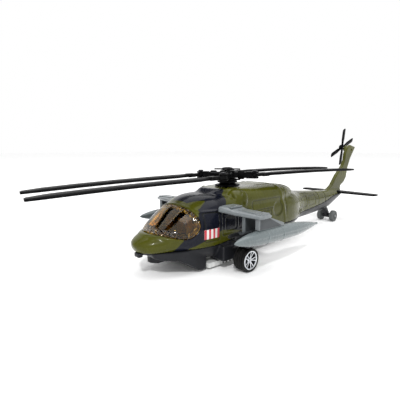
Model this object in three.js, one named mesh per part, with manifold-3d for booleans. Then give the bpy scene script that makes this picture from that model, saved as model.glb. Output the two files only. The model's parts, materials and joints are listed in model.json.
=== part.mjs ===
// Toy transport helicopter with a pull-back motor and folding rotor blades, about 1:55 scale.
// Millimetres. Y runs from the nose (-Y) to the tail (+Y), +X is the left-hand (port) side and
// Z is up. While the pieces are being made, y = 0 is the main axle and z = 0 is the ground.

import * as THREE from 'three';
import { mergeVertices } from 'three/addons/utils/BufferGeometryUtils.js';
import Module from 'manifold-3d';

// ---------------------------------------------------------------- driving dimensions

const WALL = 1.8; // thickness of the two fuselage mouldings
const GAP = 0.3; // clearance between neighbouring pieces
const HALF_GAP = GAP / 2;
const DEGREE = Math.PI / 180;

// Fuselage lines, as [y, value] pairs that a smooth curve runs through.
const TOP_LINE = [[-55.4, 20.1], [-53.6, 21.8], [-50, 23.8], [-44, 26.2], [-38, 31], [-30, 37],
  [-19, 42], [-8, 43], [10, 42.4], [50, 41], [75, 38.6], [90, 36], [154, 30.4], [186, 28.6]];
const BOTTOM_LINE = [[-55.4, 18.5], [-53.6, 15.4], [-50, 13.2], [-38, 11.8], [-30, 9], [-20, 5.6],
  [-10, 4.6], [12, 4.6], [30, 6], [60, 9], [83, 11.4], [105, 11.8], [134, 12.6], [153, 13.8],
  [162, 16.4], [186, 24.6]];
const HALF_WIDTH = [[-55.4, 1.5], [-53.6, 5.8], [-50, 9.6], [-44, 13], [-38, 15.8], [-30, 18.6],
  [-20, 20.6], [-10, 21.2], [60, 21.2], [70, 20.4], [80, 17.6], [94, 11.4], [110, 9.4], [154, 5.9],
  [186, 3.2]];
const SQUARENESS = [[-55.4, 2.1], [-38, 2.5], [-15, 3.2], [60, 3.2], [94, 2.6], [186, 2.3]];
const PARTING_LINE = [[-70, 15.2], [-15, 15.2], [8, 17.2], [90, 18.2], [140, 21.3], [165, 25.3],
  [240, 25.3]];

const COWL = { x: 12.6, z: 37.6, segments: 12, mouth: 4.2 }; // centre line of each engine cowl
const BELLY_STEP = { halfWidth: 16.4, bottom: 1, rear: -17 };
const DECK = { y: 17.2, z: 45.4 }; // where the rotor mast leaves the roof
const MAST_TILT = DEGREE; // the mast leans one degree towards the nose
const MAST_RADIUS = 1.5;
const COLLAR_NECK = 3.3; // radius of the bush that the roof holds
const FOLD_HEADING = -100 * DEGREE; // heading of the front pair of folded blades, from +X
const FOLD_PIN = { distance: 18, shank: 0.9, head: 1.7 }; // distance is from the mast
const HUB_PLATE = 0.9; // thickness of each plate of the hub's forks
const BLADE = { length: 108, chord: 9.4, thickness: 1.8, droop: 2.3, level: 7.5, root: 2 };

const MAIN_AXLE = { radius: 1, halfLength: 35, z: 7 };
const MAIN_WHEEL = { radius: 7, inner: 27.6, outer: 35.6, rim: 5.9 };
const TAIL_WHEEL = { radius: 5.3, y: 161, inner: 4.2, outer: 8, axle: 0.8 };

const WING = { root: 21.2, kink: 28.8, tip: 46.8 };
const INBOARD_X = 34.2; // missile pylon
const OUTBOARD_X = 43.7; // fuel-tank pylon
const TANK = { nose: [-24.2, 23.4], tail: [58.5, 21.2], radius: 4.3 };

const STABILATOR = { halfSpan: 37.6, bottom: 25.5, top: 28, slotTop: 28.3 };
const TAIL_ROTOR = {
  x: -8.4,
  y: 202.5,
  z: 70.6,
  radius: 20.9,
  chord: 4.4,
  cant: 15 * DEGREE,
  phase: 24 * DEGREE,
};

const SCREWS = [
  { y: -20.5, name: 'front_screw' },
  { y: 34, name: 'middle_screw' },
  { y: 100, name: 'rear_screw' },
];
const SCREW = { shank: 0.9, head: 1.9, headHeight: 1.2, reach: 7, recess: 2 };
const BOSS_RADIUS = 2.9;

const MOTOR = { halfWidth: 11, front: -11.5, rear: 14.5, bottom: 4.6, top: 26.4, wall: 1.2 };
const MOTOR_PLATE = { halfWidth: 17.6, front: -16.4, rear: 15.6, bottom: 1, top: 4.2 };
const GEAR_PIN_RADIUS = 0.8;
const ARBOR_RADIUS = 2;
const GEAR_MODULE = 0.5; // pitch diameter over tooth count
const AXLE_TEETH = 8;
const IDLER_TEETH = 18;
const IDLER_PINION_TEETH = 8;
const WINDING_TEETH = 22;

// ---------------------------------------------------------------- small helpers

const wasm = await Module();
wasm.setup();

// Turn a closed three.js geometry into a manifold-3d solid.
function solid(geometry) {
  const bare = geometry.clone();
  bare.deleteAttribute('normal');
  bare.deleteAttribute('uv');
  const merged = mergeVertices(bare, 1e-4);
  const vertProperties = new Float32Array(merged.attributes.position.array);
  const triVerts = new Uint32Array(merged.index.array);
  return new wasm.Manifold(new wasm.Mesh({ numProp: 3, vertProperties, triVerts }));
}

// Turn a manifold-3d solid back into a flat-shaded three.js geometry.
function geometryOf(body) {
  const mesh = body.getMesh();
  const geometry = new THREE.BufferGeometry();
  geometry.setAttribute('position', new THREE.BufferAttribute(new Float32Array(mesh.vertProperties), 3));
  geometry.setIndex(new THREE.BufferAttribute(new Uint32Array(mesh.triVerts), 1));
  const flat = geometry.toNonIndexed();
  flat.computeVertexNormals();
  return flat;
}

function union(bodies) {
  return bodies.reduce((sum, body) => sum.add(body));
}

// The smooth curve through [y, value] pairs, as a function of y.
function smoothLine(points) {
  const last = points.length - 1;
  const slopes = points.map((point, k) => {
    const before = points[Math.max(k - 1, 0)];
    const after = points[Math.min(k + 1, last)];
    return (after[1] - before[1]) / (after[0] - before[0]);
  });
  return (y) => {
    let k = 1;
    while (k < last && y > points[k][0]) k += 1;
    const span = points[k][0] - points[k - 1][0];
    const t = THREE.MathUtils.clamp((y - points[k - 1][0]) / span, 0, 1);
    const a = points[k - 1][1] * (2 * t ** 3 - 3 * t ** 2 + 1) + points[k][1] * (3 * t ** 2 - 2 * t ** 3);
    const b = slopes[k - 1] * (t ** 3 - 2 * t ** 2 + t) + slopes[k] * (t ** 3 - t ** 2);
    return a + span * b;
  };
}

// A closed body through rings of points, all with the same count; each end is closed by a fan.
function loft(rings) {
  const count = rings[0].length;
  const positions = rings.flat().flatMap((p) => [p.x, p.y, p.z]);
  const middles = [rings[0], rings[rings.length - 1]].map((ring) => ring.reduce(
    (sum, p) => sum.addScaledVector(p, 1 / count), new THREE.Vector3()));
  positions.push(...middles[0].toArray(), ...middles[1].toArray());
  const startMiddle = rings.length * count;
  const endRing = (rings.length - 1) * count;
  const faces = [];
  for (let j = 0; j < count; j += 1) {
    const next = (j + 1) % count;
    for (let i = 0; i < rings.length - 1; i += 1) {
      const here = i * count;
      const there = here + count;
      faces.push(here + j, there + j, here + next, there + j, there + next, here + next);
    }
    faces.push(startMiddle, j, next, startMiddle + 1, endRing + next, endRing + j);
  }
  const geometry = new THREE.BufferGeometry();
  geometry.setAttribute('position', new THREE.Float32BufferAttribute(positions, 3));
  geometry.setIndex(faces);
  return geometry;
}

function box(x0, x1, y0, y1, z0, z1) {
  const geometry = new THREE.BoxGeometry(x1 - x0, y1 - y0, z1 - z0);
  return geometry.translate((x0 + x1) / 2, (y0 + y1) / 2, (z0 + z1) / 2);
}

// A cylinder along X, Y or Z: from and to are positions along that axis.
function rod(axis, radius, from, to, center, segments = 12) {
  const geometry = new THREE.CylinderGeometry(radius, radius, to - from, segments);
  if (axis === 'x') geometry.rotateZ(-Math.PI / 2);
  if (axis === 'z') geometry.rotateX(Math.PI / 2);
  const middle = (from + to) / 2;
  const [a, b] = center;
  const place = { x: [middle, a, b], y: [a, middle, b], z: [a, b, middle] };
  return geometry.translate(...place[axis]);
}

// Turns a flat shape into the side view: its x, y and depth become world y, z and x.
const SIDE_VIEW = new THREE.Matrix4().makeBasis(
  new THREE.Vector3(0, 1, 0), new THREE.Vector3(0, 0, 1), new THREE.Vector3(1, 0, 0));

// A side-view outline of [y, z] points, made into a slab between x0 and x1.
function sideSlab(outline, x0, x1) {
  const shape = new THREE.Shape(outline.map(([y, z]) => new THREE.Vector2(y, z)));
  const geometry = new THREE.ExtrudeGeometry(shape, { depth: x1 - x0, bevelEnabled: false });
  return geometry.applyMatrix4(SIDE_VIEW).translate(x0, 0, 0);
}

// A ring or disc turned about Z from a closed outline of [radius, z] points.
function turned(outline, segments = 20) {
  const points = outline.map(([r, z]) => new THREE.Vector2(r, z));
  const geometry = new THREE.LatheGeometry([...points, points[0].clone()], segments);
  return geometry.rotateX(Math.PI / 2);
}

function washer(inner, outer, z0, z1) {
  return turned([[inner, z0], [outer, z0], [outer, z1], [inner, z1]]);
}

// ---------------------------------------------------------------- materials

function paint(color, roughness, metalness = 0) {
  return new THREE.MeshStandardMaterial({ color, roughness, metalness });
}

const amberClear = paint(0xb0701c, 0.1);
amberClear.transparent = true;
amberClear.opacity = 0.5;

const materials = {
  olivePaint: paint(0x59612a, 0.25, 0.2),
  chassisPlastic: paint(0x2a2c30, 0.5),
  amberClear,
  cockpitPlastic: paint(0x3b3128, 0.6),
  greyPlastic: paint(0x82898a, 0.4),
  tankPlastic: paint(0x9fa8a8, 0.4),
  motorPlastic: paint(0xb8bab8, 0.5),
  gearPlastic: paint(0xd9d6cc, 0.5),
  rotorPlastic: paint(0x17181a, 0.45),
  tyreRubber: paint(0x141414, 0.85),
  chrome: paint(0xcfd2d6, 0.15, 1),
  steel: paint(0x9a9da0, 0.35, 1),
  springSteel: paint(0x6f7478, 0.35, 1),
  tailWheelPlastic: paint(0x5d6061, 0.6),
};

const model = new THREE.Group();

// Name a piece, give it its material and hang it in the model (or in a tilted group).
function add(name, geometry, material, parent = model) {
  const mesh = new THREE.Mesh(geometry, material);
  mesh.name = name;
  parent.add(mesh);
  return mesh;
}

// ---------------------------------------------------------------- fuselage

const topLine = smoothLine(TOP_LINE);
const bottomLine = smoothLine(BOTTOM_LINE);
const halfWidth = smoothLine(HALF_WIDTH);
const squareness = smoothLine(SQUARENESS);

// One squared-off oval section of the fuselage, inset on every side.
function section(y, inset, count) {
  const top = topLine(y) - inset;
  const bottom = bottomLine(y) + inset;
  const width = halfWidth(y) - inset;
  const power = 2 / squareness(y);
  return Array.from({ length: count }, (_, k) => {
    const angle = (2 * Math.PI * (k + 0.5)) / count;
    const x = width * Math.sign(Math.cos(angle)) * Math.abs(Math.cos(angle)) ** power;
    const z = Math.sign(Math.sin(angle)) * Math.abs(Math.sin(angle)) ** power;
    return new THREE.Vector3(x, y, (top + bottom) / 2 + (z * (top - bottom)) / 2);
  });
}

function fuselageBody(inset) {
  const stations = [-55.4, -54.2, -52.4, -50, -46, -41, -35, -29, -22, -15, -8, 12, 40, 60, 72, 83, 94,
    108, 130, 154, 162, 174, 186];
  // The hollow inside stops short of the nose and of the tail's end.
  const first = inset > 0 ? -50 : -55.4;
  const last = inset > 0 ? 154 : 186;
  const used = stations.filter((y) => y >= first && y <= last);
  const count = inset > 0 ? 16 : 24;
  return solid(loft(used.map((y) => section(y, inset, count))));
}

// The raised rotor fairing along the middle of the roof.
function roofFairing() {
  const crest = smoothLine([[-10, 41], [-3, 44.2], [4, 45.4], [34, 45.4], [44, 45.8], [60, 44.6],
    [74, 42.2], [84, 39], [90, 35]]);
  const side = smoothLine([[-10, 5], [-3, 9], [4, 10.6], [60, 10], [84, 6], [90, 3]]);
  const base = 33; // inside the hull
  const rings = [-10, -3, 4, 34, 44, 60, 74, 84, 90].map((y) => {
    const z = crest(y);
    const x = side(y);
    const ring = [[x + 2, base], [x + 1, z - 4], [x - 2.5, z],
      [2.5 - x, z], [-x - 1, z - 4], [-x - 2, base]];
    return ring.map(([px, pz]) => new THREE.Vector3(px, y, pz));
  });
  return solid(loft(rings));
}

// One engine cowl, a rounded pod on the shoulder of the roof, with a round intake in front.
function engineCowl(side) {
  const stations = [[6, 5.8], [9, 7.2], [16, 7.7], [30, 7.7], [52, 7.5], [60, 6.2], [67, 4], [72, 2.2]];
  const rings = stations.map(([y, radius]) => Array.from({ length: COWL.segments }, (_, k) => {
    const angle = (2 * Math.PI * k) / COWL.segments;
    const x = side * COWL.x + radius * Math.cos(angle);
    return new THREE.Vector3(x, y, COWL.z + radius * Math.sin(angle));
  }));
  return solid(loft(rings));
}

// The shallow round mouth in the front of a cowl.
function intakeHollow(side) {
  return solid(rod('y', COWL.mouth, 0, 9.5, [side * COWL.x, COWL.z]));
}

// The swept tail fin, one thin slab with bevelled edges.
function fin() {
  const outline = [[148, 26], [157.5, 31.4], [164, 34.5], [173, 43.8], [185, 52.5], [189, 58.4],
    [189.6, 64.5], [193.5, 70.5], [200, 73.2], [212, 71], [201.5, 59.5], [196.6, 50.5], [194, 40.4],
    [189.5, 36], [182.5, 32.8], [181.5, 28.4], [176, 26]];
  const bevel = 0.8;
  const shape = new THREE.Shape(outline.map(([y, z]) => new THREE.Vector2(y, z)));
  const geometry = new THREE.ExtrudeGeometry(shape, {
    depth: 2, bevelThickness: bevel, bevelSize: bevel, bevelOffset: -bevel, bevelSegments: 1 });
  return solid(geometry.applyMatrix4(SIDE_VIEW).translate(-1, 0, 0));
}

// Everything above (or below) the line where the two fuselage mouldings meet.
function sideOfParting(above) {
  const offset = above ? HALF_GAP : -HALF_GAP;
  const far = above ? 130 : -20;
  const line = PARTING_LINE.map(([y, z]) => [y, z + offset]);
  const closed = [...line, [240, far], [-70, far]];
  return solid(sideSlab(closed, -60, 60));
}

// The windscreen opening, seen from the side; the shift leaves a gap round the glazing.
function windscreenOpening(shift) {
  const outline = [[-52, 27.2], [-44, 24.2], [-34, 21.8], [-28.4, 22.8], [-25, 26], [-24, 29.5],
    [-25.4, 33.4], [-29.5, 39], [-40, 46], [-60, 40]];
  return solid(sideSlab(outline.map(([y, z]) => [y - shift, z + shift]), -40, 40));
}

function partingHeight(y) {
  const k = PARTING_LINE.findIndex(([py]) => py > y);
  const [y0, z0] = PARTING_LINE[k - 1];
  const [y1, z1] = PARTING_LINE[k];
  return THREE.MathUtils.mapLinear(y, y0, y1, z0, z1);
}

function screwBoss(y) {
  const roof = topLine(y) - 1;
  return solid(rod('z', BOSS_RADIUS, partingHeight(y) + HALF_GAP, roof, [0, y]));
}

// Tail-rotor axis: out to the right-hand side and up.
function tailRotorGroup() {
  const group = new THREE.Group();
  group.position.set(TAIL_ROTOR.x, TAIL_ROTOR.y, TAIL_ROTOR.z);
  group.rotation.y = TAIL_ROTOR.cant - Math.PI / 2;
  group.updateMatrix();
  return group;
}

// Main-rotor axis: up from the roof deck, with the mast's lean.
function rotorGroup() {
  const group = new THREE.Group();
  group.position.set(0, DECK.y, DECK.z);
  group.rotation.x = MAST_TILT;
  group.updateMatrix();
  return group;
}

// A slot in the side of the roof for the wing's tongue.
function wingSlot(side) {
  const [near, far] = [15, 24];
  const slot = box(near, far, -9 - GAP, GAP, 34.4 - GAP, 36.6 + GAP);
  return solid(side > 0 ? slot : slot.translate(-near - far, 0, 0));
}

function upperShell() {
  let outside = fuselageBody(0).add(roofFairing()).add(engineCowl(1)).add(engineCowl(-1));
  outside = outside.subtract(intakeHollow(1)).subtract(intakeHollow(-1));
  const inside = fuselageBody(WALL);
  let shell = outside.subtract(inside).add(fin());
  const gearbox = rod('z', 3.2, -9, -3, [0, 0]).applyMatrix4(tailRotorGroup().matrix);
  shell = shell.add(solid(gearbox));
  shell = shell.subtract(windscreenOpening(0)).intersect(sideOfParting(true));
  shell = union([shell, ...SCREWS.map(({ y }) => screwBoss(y))]);
  for (const { y } of SCREWS) {
    const bottom = partingHeight(y) - 1;
    const pilotHole = rod('z', SCREW.shank + GAP, bottom, bottom + SCREW.reach + 2, [0, y]);
    shell = shell.subtract(solid(pilotHole));
  }
  const mastHole = rod('z', COLLAR_NECK + GAP, -12, 4, [0, 0]).applyMatrix4(rotorGroup().matrix);
  const tailHole = rod('z', 1 + GAP, -9, -2, [0, 0], 16).applyMatrix4(tailRotorGroup().matrix);
  const stabilatorSlot = box(-12, 12, 171.4, 230, 20, STABILATOR.slotTop);
  return [mastHole, tailHole, stabilatorSlot].reduce((body, cut) => body.subtract(solid(cut)), shell)
    .subtract(wingSlot(1)).subtract(wingSlot(-1));
}

// The keel under the nose, which deepens into a step in front of the motor plate. Seen from
// above it narrows towards the nose.
function bellyStep() {
  const { halfWidth: w, bottom, rear } = BELLY_STEP;
  const side = [[-49, 15], [-47.5, 12], [-44, 10.7], [-36.5, 9.4], [-31, 6.9], [-28, 5],
    [-23, bottom + 0.6], [-20, bottom], [rear, bottom], [rear, 15]];
  const plan = [[-w, rear], [-w, -33], [-13, -40], [-8, -49], [8, -49], [13, -40], [w, -33], [w, rear]];
  const shape = new THREE.Shape(plan.map(([x, y]) => new THREE.Vector2(x, y)));
  const column = new THREE.ExtrudeGeometry(shape, { depth: 20, bevelEnabled: false });
  return solid(sideSlab(side, -w, w)).intersect(solid(column));
}

// The flat block under the nose and the small lug in front of it.
function chin() {
  const plan = [[-5, -37], [-5, -43], [-2, -46], [2, -46], [5, -43], [5, -37]];
  const shape = new THREE.Shape(plan.map(([x, y]) => new THREE.Vector2(x, y)));
  const block = new THREE.ExtrudeGeometry(shape, { depth: 6, bevelEnabled: false }).translate(0, 0, 7.5);
  const lug = box(-1.4, 3, -54.2, -51.4, 12.6, 16);
  return solid(block).add(solid(lug));
}

// Black blocks that carry the main axle outside the fuselage, with a small guard over each wheel.
function axleSponson(side) {
  const [inner, outer] = [13, 24.8];
  const block = box(inner, outer, -11, 10, 4.5, 14.6);
  const guard = box(outer - 1, 36, -4, 7, 14.8, 16.2);
  const web = box(inner, outer, -4, 7, 14, 16.2);
  const pieces = [block, guard, web].map(solid);
  const body = union(pieces);
  return side > 0 ? body : body.mirror([1, 0, 0]);
}

function lowerChassis() {
  const inside = fuselageBody(WALL);
  const hull = fuselageBody(0).add(bellyStep()).add(chin()).subtract(inside);
  let chassis = hull.intersect(sideOfParting(false));
  chassis = chassis.add(axleSponson(1)).add(axleSponson(-1));
  for (const { y } of SCREWS) {
    const floor = bottomLine(y) + 0.6;
    chassis = chassis.add(solid(rod('z', BOSS_RADIUS, floor, partingHeight(y) - HALF_GAP, [0, y])));
  }
  for (const { y } of SCREWS) {
    const under = screwSeat(y);
    chassis = chassis.subtract(solid(rod('z', SCREW.shank + GAP, under - 6, 60, [0, y])));
    chassis = chassis.subtract(solid(rod('z', SCREW.head + GAP, under - 8, under, [0, y])));
  }
  for (const x of [-5, 5]) {
    chassis = chassis.add(solid(rod('z', 1.6, 11, 15.3, [x, -31], 12)));
  }
  const { halfWidth: w, front, rear } = MOTOR;
  const motorOpening = box(-w - GAP, w + GAP, front - GAP, rear + GAP, 0, 30);
  const axleHole = rod('x', MAIN_AXLE.radius + GAP, -40, 40, [0, MAIN_AXLE.z]);
  const strutSocket = rod('z', 2 + GAP, 10, 17.4, [0, 155]);
  return [motorOpening, axleHole, strutSocket].reduce((body, cut) => body.subtract(solid(cut)), chassis);
}

// Height of the shoulder that each screw head bears on.
function screwSeat(y) {
  const underside = y < BELLY_STEP.rear ? BELLY_STEP.bottom : bottomLine(y);
  return underside + SCREW.recess;
}

add('upper_shell', geometryOf(upperShell()), materials.olivePaint);
add('lower_chassis', geometryOf(lowerChassis()), materials.chassisPlastic);

for (const { y, name } of SCREWS) {
  const seat = screwSeat(y) - GAP;
  const top = partingHeight(y) + SCREW.reach;
  const head = rod('z', SCREW.head, seat - SCREW.headHeight, seat, [0, y]);
  const shank = rod('z', SCREW.shank, seat - 0.2, top, [0, y]);
  add(name, geometryOf(solid(head).add(solid(shank))), materials.steel);
}

// ---------------------------------------------------------------- cockpit

function windshield() {
  const skin = fuselageBody(0).subtract(fuselageBody(1.4));
  return skin.intersect(windscreenOpening(GAP));
}

function cockpitInterior() {
  const floor = box(-8.6, 8.6, -41, -24, 15.7, 17.2);
  const dash = box(-8, 8, -41, -37.4, 17, 22);
  const console = box(-1.6, 1.6, -39, -27, 17, 20.4);
  const seats = [-5.6, 5.6].flatMap((x) => [
    box(x - 3.4, x + 3.4, -34, -26, 17, 20.6),
    box(x - 3.2, x + 3.2, -28, -25.4, 17, 30.6),
  ]);
  return union([floor, dash, console, ...seats].map(solid));
}

add('windshield', geometryOf(windshield()), materials.amberClear);
add('cockpit_interior', geometryOf(cockpitInterior()), materials.cockpitPlastic);

// ---------------------------------------------------------------- pull-back motor

// A spur gear about X with slim teeth, the first tooth at the given phase in the Y-Z plane.
function gear(teeth, phase, x0, x1, bore) {
  const pitchRadius = (teeth * GEAR_MODULE) / 2;
  const root = pitchRadius - 0.55;
  const tip = pitchRadius + 0.4;
  const outline = [];
  for (let k = 0; k < teeth; k += 1) {
    for (const [share, radius] of [[-0.22, root], [-0.1, tip], [0.1, tip], [0.22, root]]) {
      const angle = phase + (2 * Math.PI * (k + share)) / teeth;
      outline.push([radius * Math.cos(angle), radius * Math.sin(angle)]);
    }
  }
  const wheel = solid(sideSlab(outline, x0, x1));
  return bore > 0 ? wheel.subtract(solid(rod('x', bore, x0 - 1, x1 + 1, [0, 0]))) : wheel;
}

// The centre of a gear that meshes with one at `from`, in the direction `angle` of the Y-Z plane.
function gearCentre(from, teethSum, angle) {
  const distance = (teethSum * GEAR_MODULE) / 2;
  return [from[0] + distance * Math.cos(angle), from[1] + distance * Math.sin(angle)];
}

const AXLE_TO_IDLER = 50 * DEGREE; // directions in the Y-Z plane, from +Y
const IDLER_TO_WINDER = 120 * DEGREE;
const IDLER = gearCentre([0, MAIN_AXLE.z], AXLE_TEETH + IDLER_TEETH, AXLE_TO_IDLER);
const WINDER = gearCentre(IDLER, IDLER_PINION_TEETH + WINDING_TEETH, IDLER_TO_WINDER);


function motorHousing() {
  const { halfWidth: w, front, rear, bottom, top, wall } = MOTOR;
  const outer = solid(box(-w, w, front, rear, bottom, top - wall - GAP));
  const inner = solid(box(-w + wall, w - wall, front + wall, rear - wall, bottom - 1, top + 1));
  const axleHole = solid(rod('x', MAIN_AXLE.radius + GAP, -w - 1, w + 1, [0, MAIN_AXLE.z]));
  const pinHoles = [IDLER, WINDER].map((centre) => (
    solid(rod('x', GEAR_PIN_RADIUS + GAP, -w - 1, w + 1, centre))));
  return [inner, axleHole, ...pinHoles].reduce((body, cut) => body.subtract(cut), outer);
}

function gearPin(centre) {
  const reach = MOTOR.halfWidth - 0.2;
  return rod('x', GEAR_PIN_RADIUS, -reach, reach, centre);
}

function idlerGear() {
  // The wheel shows a gap to the axle gear, and the pinion a tooth to the winding gear.
  const wheelPhase = AXLE_TO_IDLER + Math.PI + Math.PI / IDLER_TEETH;
  const pinionPhase = IDLER_TO_WINDER;
  const bore = GEAR_PIN_RADIUS + GAP;
  const wheel = gear(IDLER_TEETH, wheelPhase, -8, -5.4, bore);
  const pinion = gear(IDLER_PINION_TEETH, pinionPhase, -5.5, -2, bore);
  return wheel.add(pinion).translate([0, ...IDLER]);
}

function windingGear() {
  const phase = IDLER_TO_WINDER + Math.PI + Math.PI / WINDING_TEETH;
  const bore = GEAR_PIN_RADIUS + GAP;
  const wheel = gear(WINDING_TEETH, phase, -4.8, -2.4, bore);
  const arbor = solid(rod('x', ARBOR_RADIUS, -2.5, 8, [0, 0]));
  return wheel.add(arbor.subtract(solid(rod('x', bore, -3, 9, [0, 0])))).translate([0, ...WINDER]);
}

// A spiral strip between the arbor and the spring's outer turn.
function mainspring() {
  const turns = 3;
  const steps = 42;
  const [inner, outer] = [2.6, 5.2];
  const thickness = 0.4;
  const edge = (extra) => Array.from({ length: steps + 1 }, (_, k) => {
    const angle = (2 * Math.PI * turns * k) / steps;
    const radius = inner + ((outer - inner) * k) / steps + extra;
    return [radius * Math.cos(angle), radius * Math.sin(angle)];
  });
  const outline = [...edge(0), ...edge(thickness).reverse()];
  return sideSlab(outline, -1.2, 6.6).translate(0, ...WINDER);
}

function motorPlate() {
  const { halfWidth, front, rear, bottom, top } = MOTOR_PLATE;
  return box(-halfWidth, halfWidth, front, rear, bottom, top);
}

function motorLid() {
  const { halfWidth, front, rear, top, wall } = MOTOR;
  return box(-halfWidth, halfWidth, front, rear, top - wall, top);
}

function axleGear() {
  const wheel = gear(AXLE_TEETH, AXLE_TO_IDLER, -8, -5.4, MAIN_AXLE.radius + HALF_GAP);
  return wheel.translate([0, 0, MAIN_AXLE.z]);
}

add('base_plate', motorPlate(), materials.motorPlastic);
add('motor_housing', geometryOf(motorHousing()), materials.motorPlastic);
add('motor_lid', motorLid(), materials.motorPlastic);
add('axle_gear', geometryOf(axleGear()), materials.gearPlastic);
add('idler_gear', geometryOf(idlerGear()), materials.gearPlastic);
add('winding_gear', geometryOf(windingGear()), materials.gearPlastic);
add('idler_pin', gearPin(IDLER), materials.steel);
add('winding_pin', gearPin(WINDER), materials.steel);
add('mainspring', mainspring(), materials.springSteel);

// ---------------------------------------------------------------- wheels

function tyre(inner, outer, from, to) {
  const crown = 0.7; // how far the shoulder's chamfer reaches
  const outline = [[inner, from], [outer - crown, from], [outer, from + crown], [outer, to - crown],
    [outer - crown, to], [inner, to]];
  return turned(outline).rotateY(Math.PI / 2);
}

// The wheel: a barrel with a web near its outer face and a hub round the axle.
function rim() {
  const { rim: radius, inner, outer } = MAIN_WHEEL;
  const bore = MAIN_AXLE.radius + GAP;
  const hub = 2.4;
  const outline = [[bore, inner + 1], [hub, inner + 1], [hub, outer - 3], [radius - 0.8, outer - 3],
    [radius - 0.8, inner + 0.4], [radius - GAP, inner + 0.4], [radius - GAP, outer - 0.2],
    [radius - 0.9, outer - 0.2], [radius - 1.2, outer - 1.2], [hub, outer - 1.2], [hub, outer - 0.5],
    [bore, outer - 0.5]];
  return turned(outline).rotateY(Math.PI / 2);
}

function mainTyre() {
  const { rim: seat, radius, inner, outer } = MAIN_WHEEL;
  return tyre(seat, radius, inner, outer);
}

function mainAxle() {
  const { radius, halfLength, z } = MAIN_AXLE;
  return rod('x', radius, -halfLength, halfLength, [0, z]);
}

add('main_axle', mainAxle(), materials.steel);
for (const [side, name] of [[1, 'left'], [-1, 'right']]) {
  const turn = side > 0 ? 0 : Math.PI;
  const parts = [
    [`${name}_tyre`, mainTyre(), materials.tyreRubber],
    [`${name}_rim`, rim(), materials.chrome],
  ];
  for (const [node, geometry, material] of parts) {
    add(node, geometry.rotateZ(turn).translate(0, 0, MAIN_AXLE.z), material);
  }
}

// The tail wheels turn in a leg that plugs into the underside of the boom.
function tailStrut() {
  const peg = rod('z', 2, 13, 17, [0, 155]);
  const leg = sideSlab([[153, 13], [157.4, 13.4], [162.6, 6.4], [161.6, 3.6], [159, 4.6]], -1.6, 1.6);
  const barrel = rod('x', 2.1, -3.6, 3.6, [TAIL_WHEEL.y, TAIL_WHEEL.radius]);
  const bore = rod('x', TAIL_WHEEL.axle + GAP, -5, 5, [TAIL_WHEEL.y, TAIL_WHEEL.radius]);
  return union([peg, leg, barrel].map(solid)).subtract(solid(bore));
}

add('tail_strut', geometryOf(tailStrut()), materials.chassisPlastic);
function tailAxle() {
  const { y, radius, axle, outer } = TAIL_WHEEL;
  const halfLength = outer + 0.4;
  return rod('x', axle, -halfLength, halfLength, [y, radius]);
}

function tailWheel(side) {
  const { y, radius, axle, inner, outer } = TAIL_WHEEL;
  const wheel = tyre(axle + GAP, radius, inner, outer);
  return wheel.rotateZ(side > 0 ? 0 : Math.PI).translate(0, y, radius);
}

add('tail_axle', tailAxle(), materials.steel);
add('left_tail_wheel', tailWheel(1), materials.tailWheelPlastic);
add('right_tail_wheel', tailWheel(-1), materials.tailWheelPlastic);

// ---------------------------------------------------------------- stub wings and stores

// A flat section across the wing at span x, with its edges taken off.
function wingSection(x, front, rear, bottom, top) {
  const edge = 0.8;
  return [[front, top - edge], [front + edge, top], [rear - edge, top], [rear, top - edge],
    [rear, bottom + edge], [rear - edge, bottom], [front + edge, bottom], [front, bottom + edge]].map(
    ([y, z]) => new THREE.Vector3(x, y, z));
}

function stubWing(side) {
  const blade = solid(loft([
    wingSection(WING.root, -12, 4, 34, 38),
    wingSection(WING.kink, -10, 3.6, 33.4, 36.2),
    wingSection(WING.tip, -7.2, 2.6, 33.2, 35.6),
  ]));
  const tongue = solid(box(16.4, WING.root + 1, -9, 0, 34.4, 36.6));
  const wing = blade.add(tongue);
  return side > 0 ? wing : wing.mirror([1, 0, 0]);
}

function outboardPylon() {
  return sideSlab([[-6.3, 27.4], [17.5, 27], [17.5, 28.2], [3, 32.8], [-6.3, 32.8]], -1.3, 1.3);
}

function inboardPylon() {
  return sideSlab([[-6.3, 25], [11, 25], [9.5, 28], [2.5, 32.8], [-6.3, 32.8]], -1, 1);
}

// A short rail with two small missiles moulded to it.
function missileRack() {
  const rail = solid(box(-2.2, 2.2, -8, 14, 23, 24.7));
  const missiles = [-2.4, 2.4].map((x) => {
    const profile = [[0, -16], [0.8, -14.6], [1.3, -12.6], [1.3, 14], [1, 15], [0, 15]];
    const points = profile.map(([r, y]) => new THREE.Vector2(r, y));
    return solid(new THREE.LatheGeometry(points, 12).translate(x, 0, 22.9));
  });
  return union([rail, ...missiles]);
}

// A long pointed tank with a thin tail, leaning down slightly towards the back.
function fuelTank() {
  const length = TANK.tail[0] - TANK.nose[0];
  const profile = [[0, 0], [1.4, 3], [2.6, 8], [3.6, 14], [4.2, 21], [TANK.radius, 27], [TANK.radius, 48],
    [3.7, 58], [2.6, 68], [1.3, 77], [0, length]];
  const body = new THREE.LatheGeometry(profile.map(([r, y]) => new THREE.Vector2(r, y)), 16);
  const drop = Math.atan2(TANK.tail[1] - TANK.nose[1], length);
  return body.rotateX(drop).translate(0, TANK.nose[0], TANK.nose[1]);
}

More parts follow.
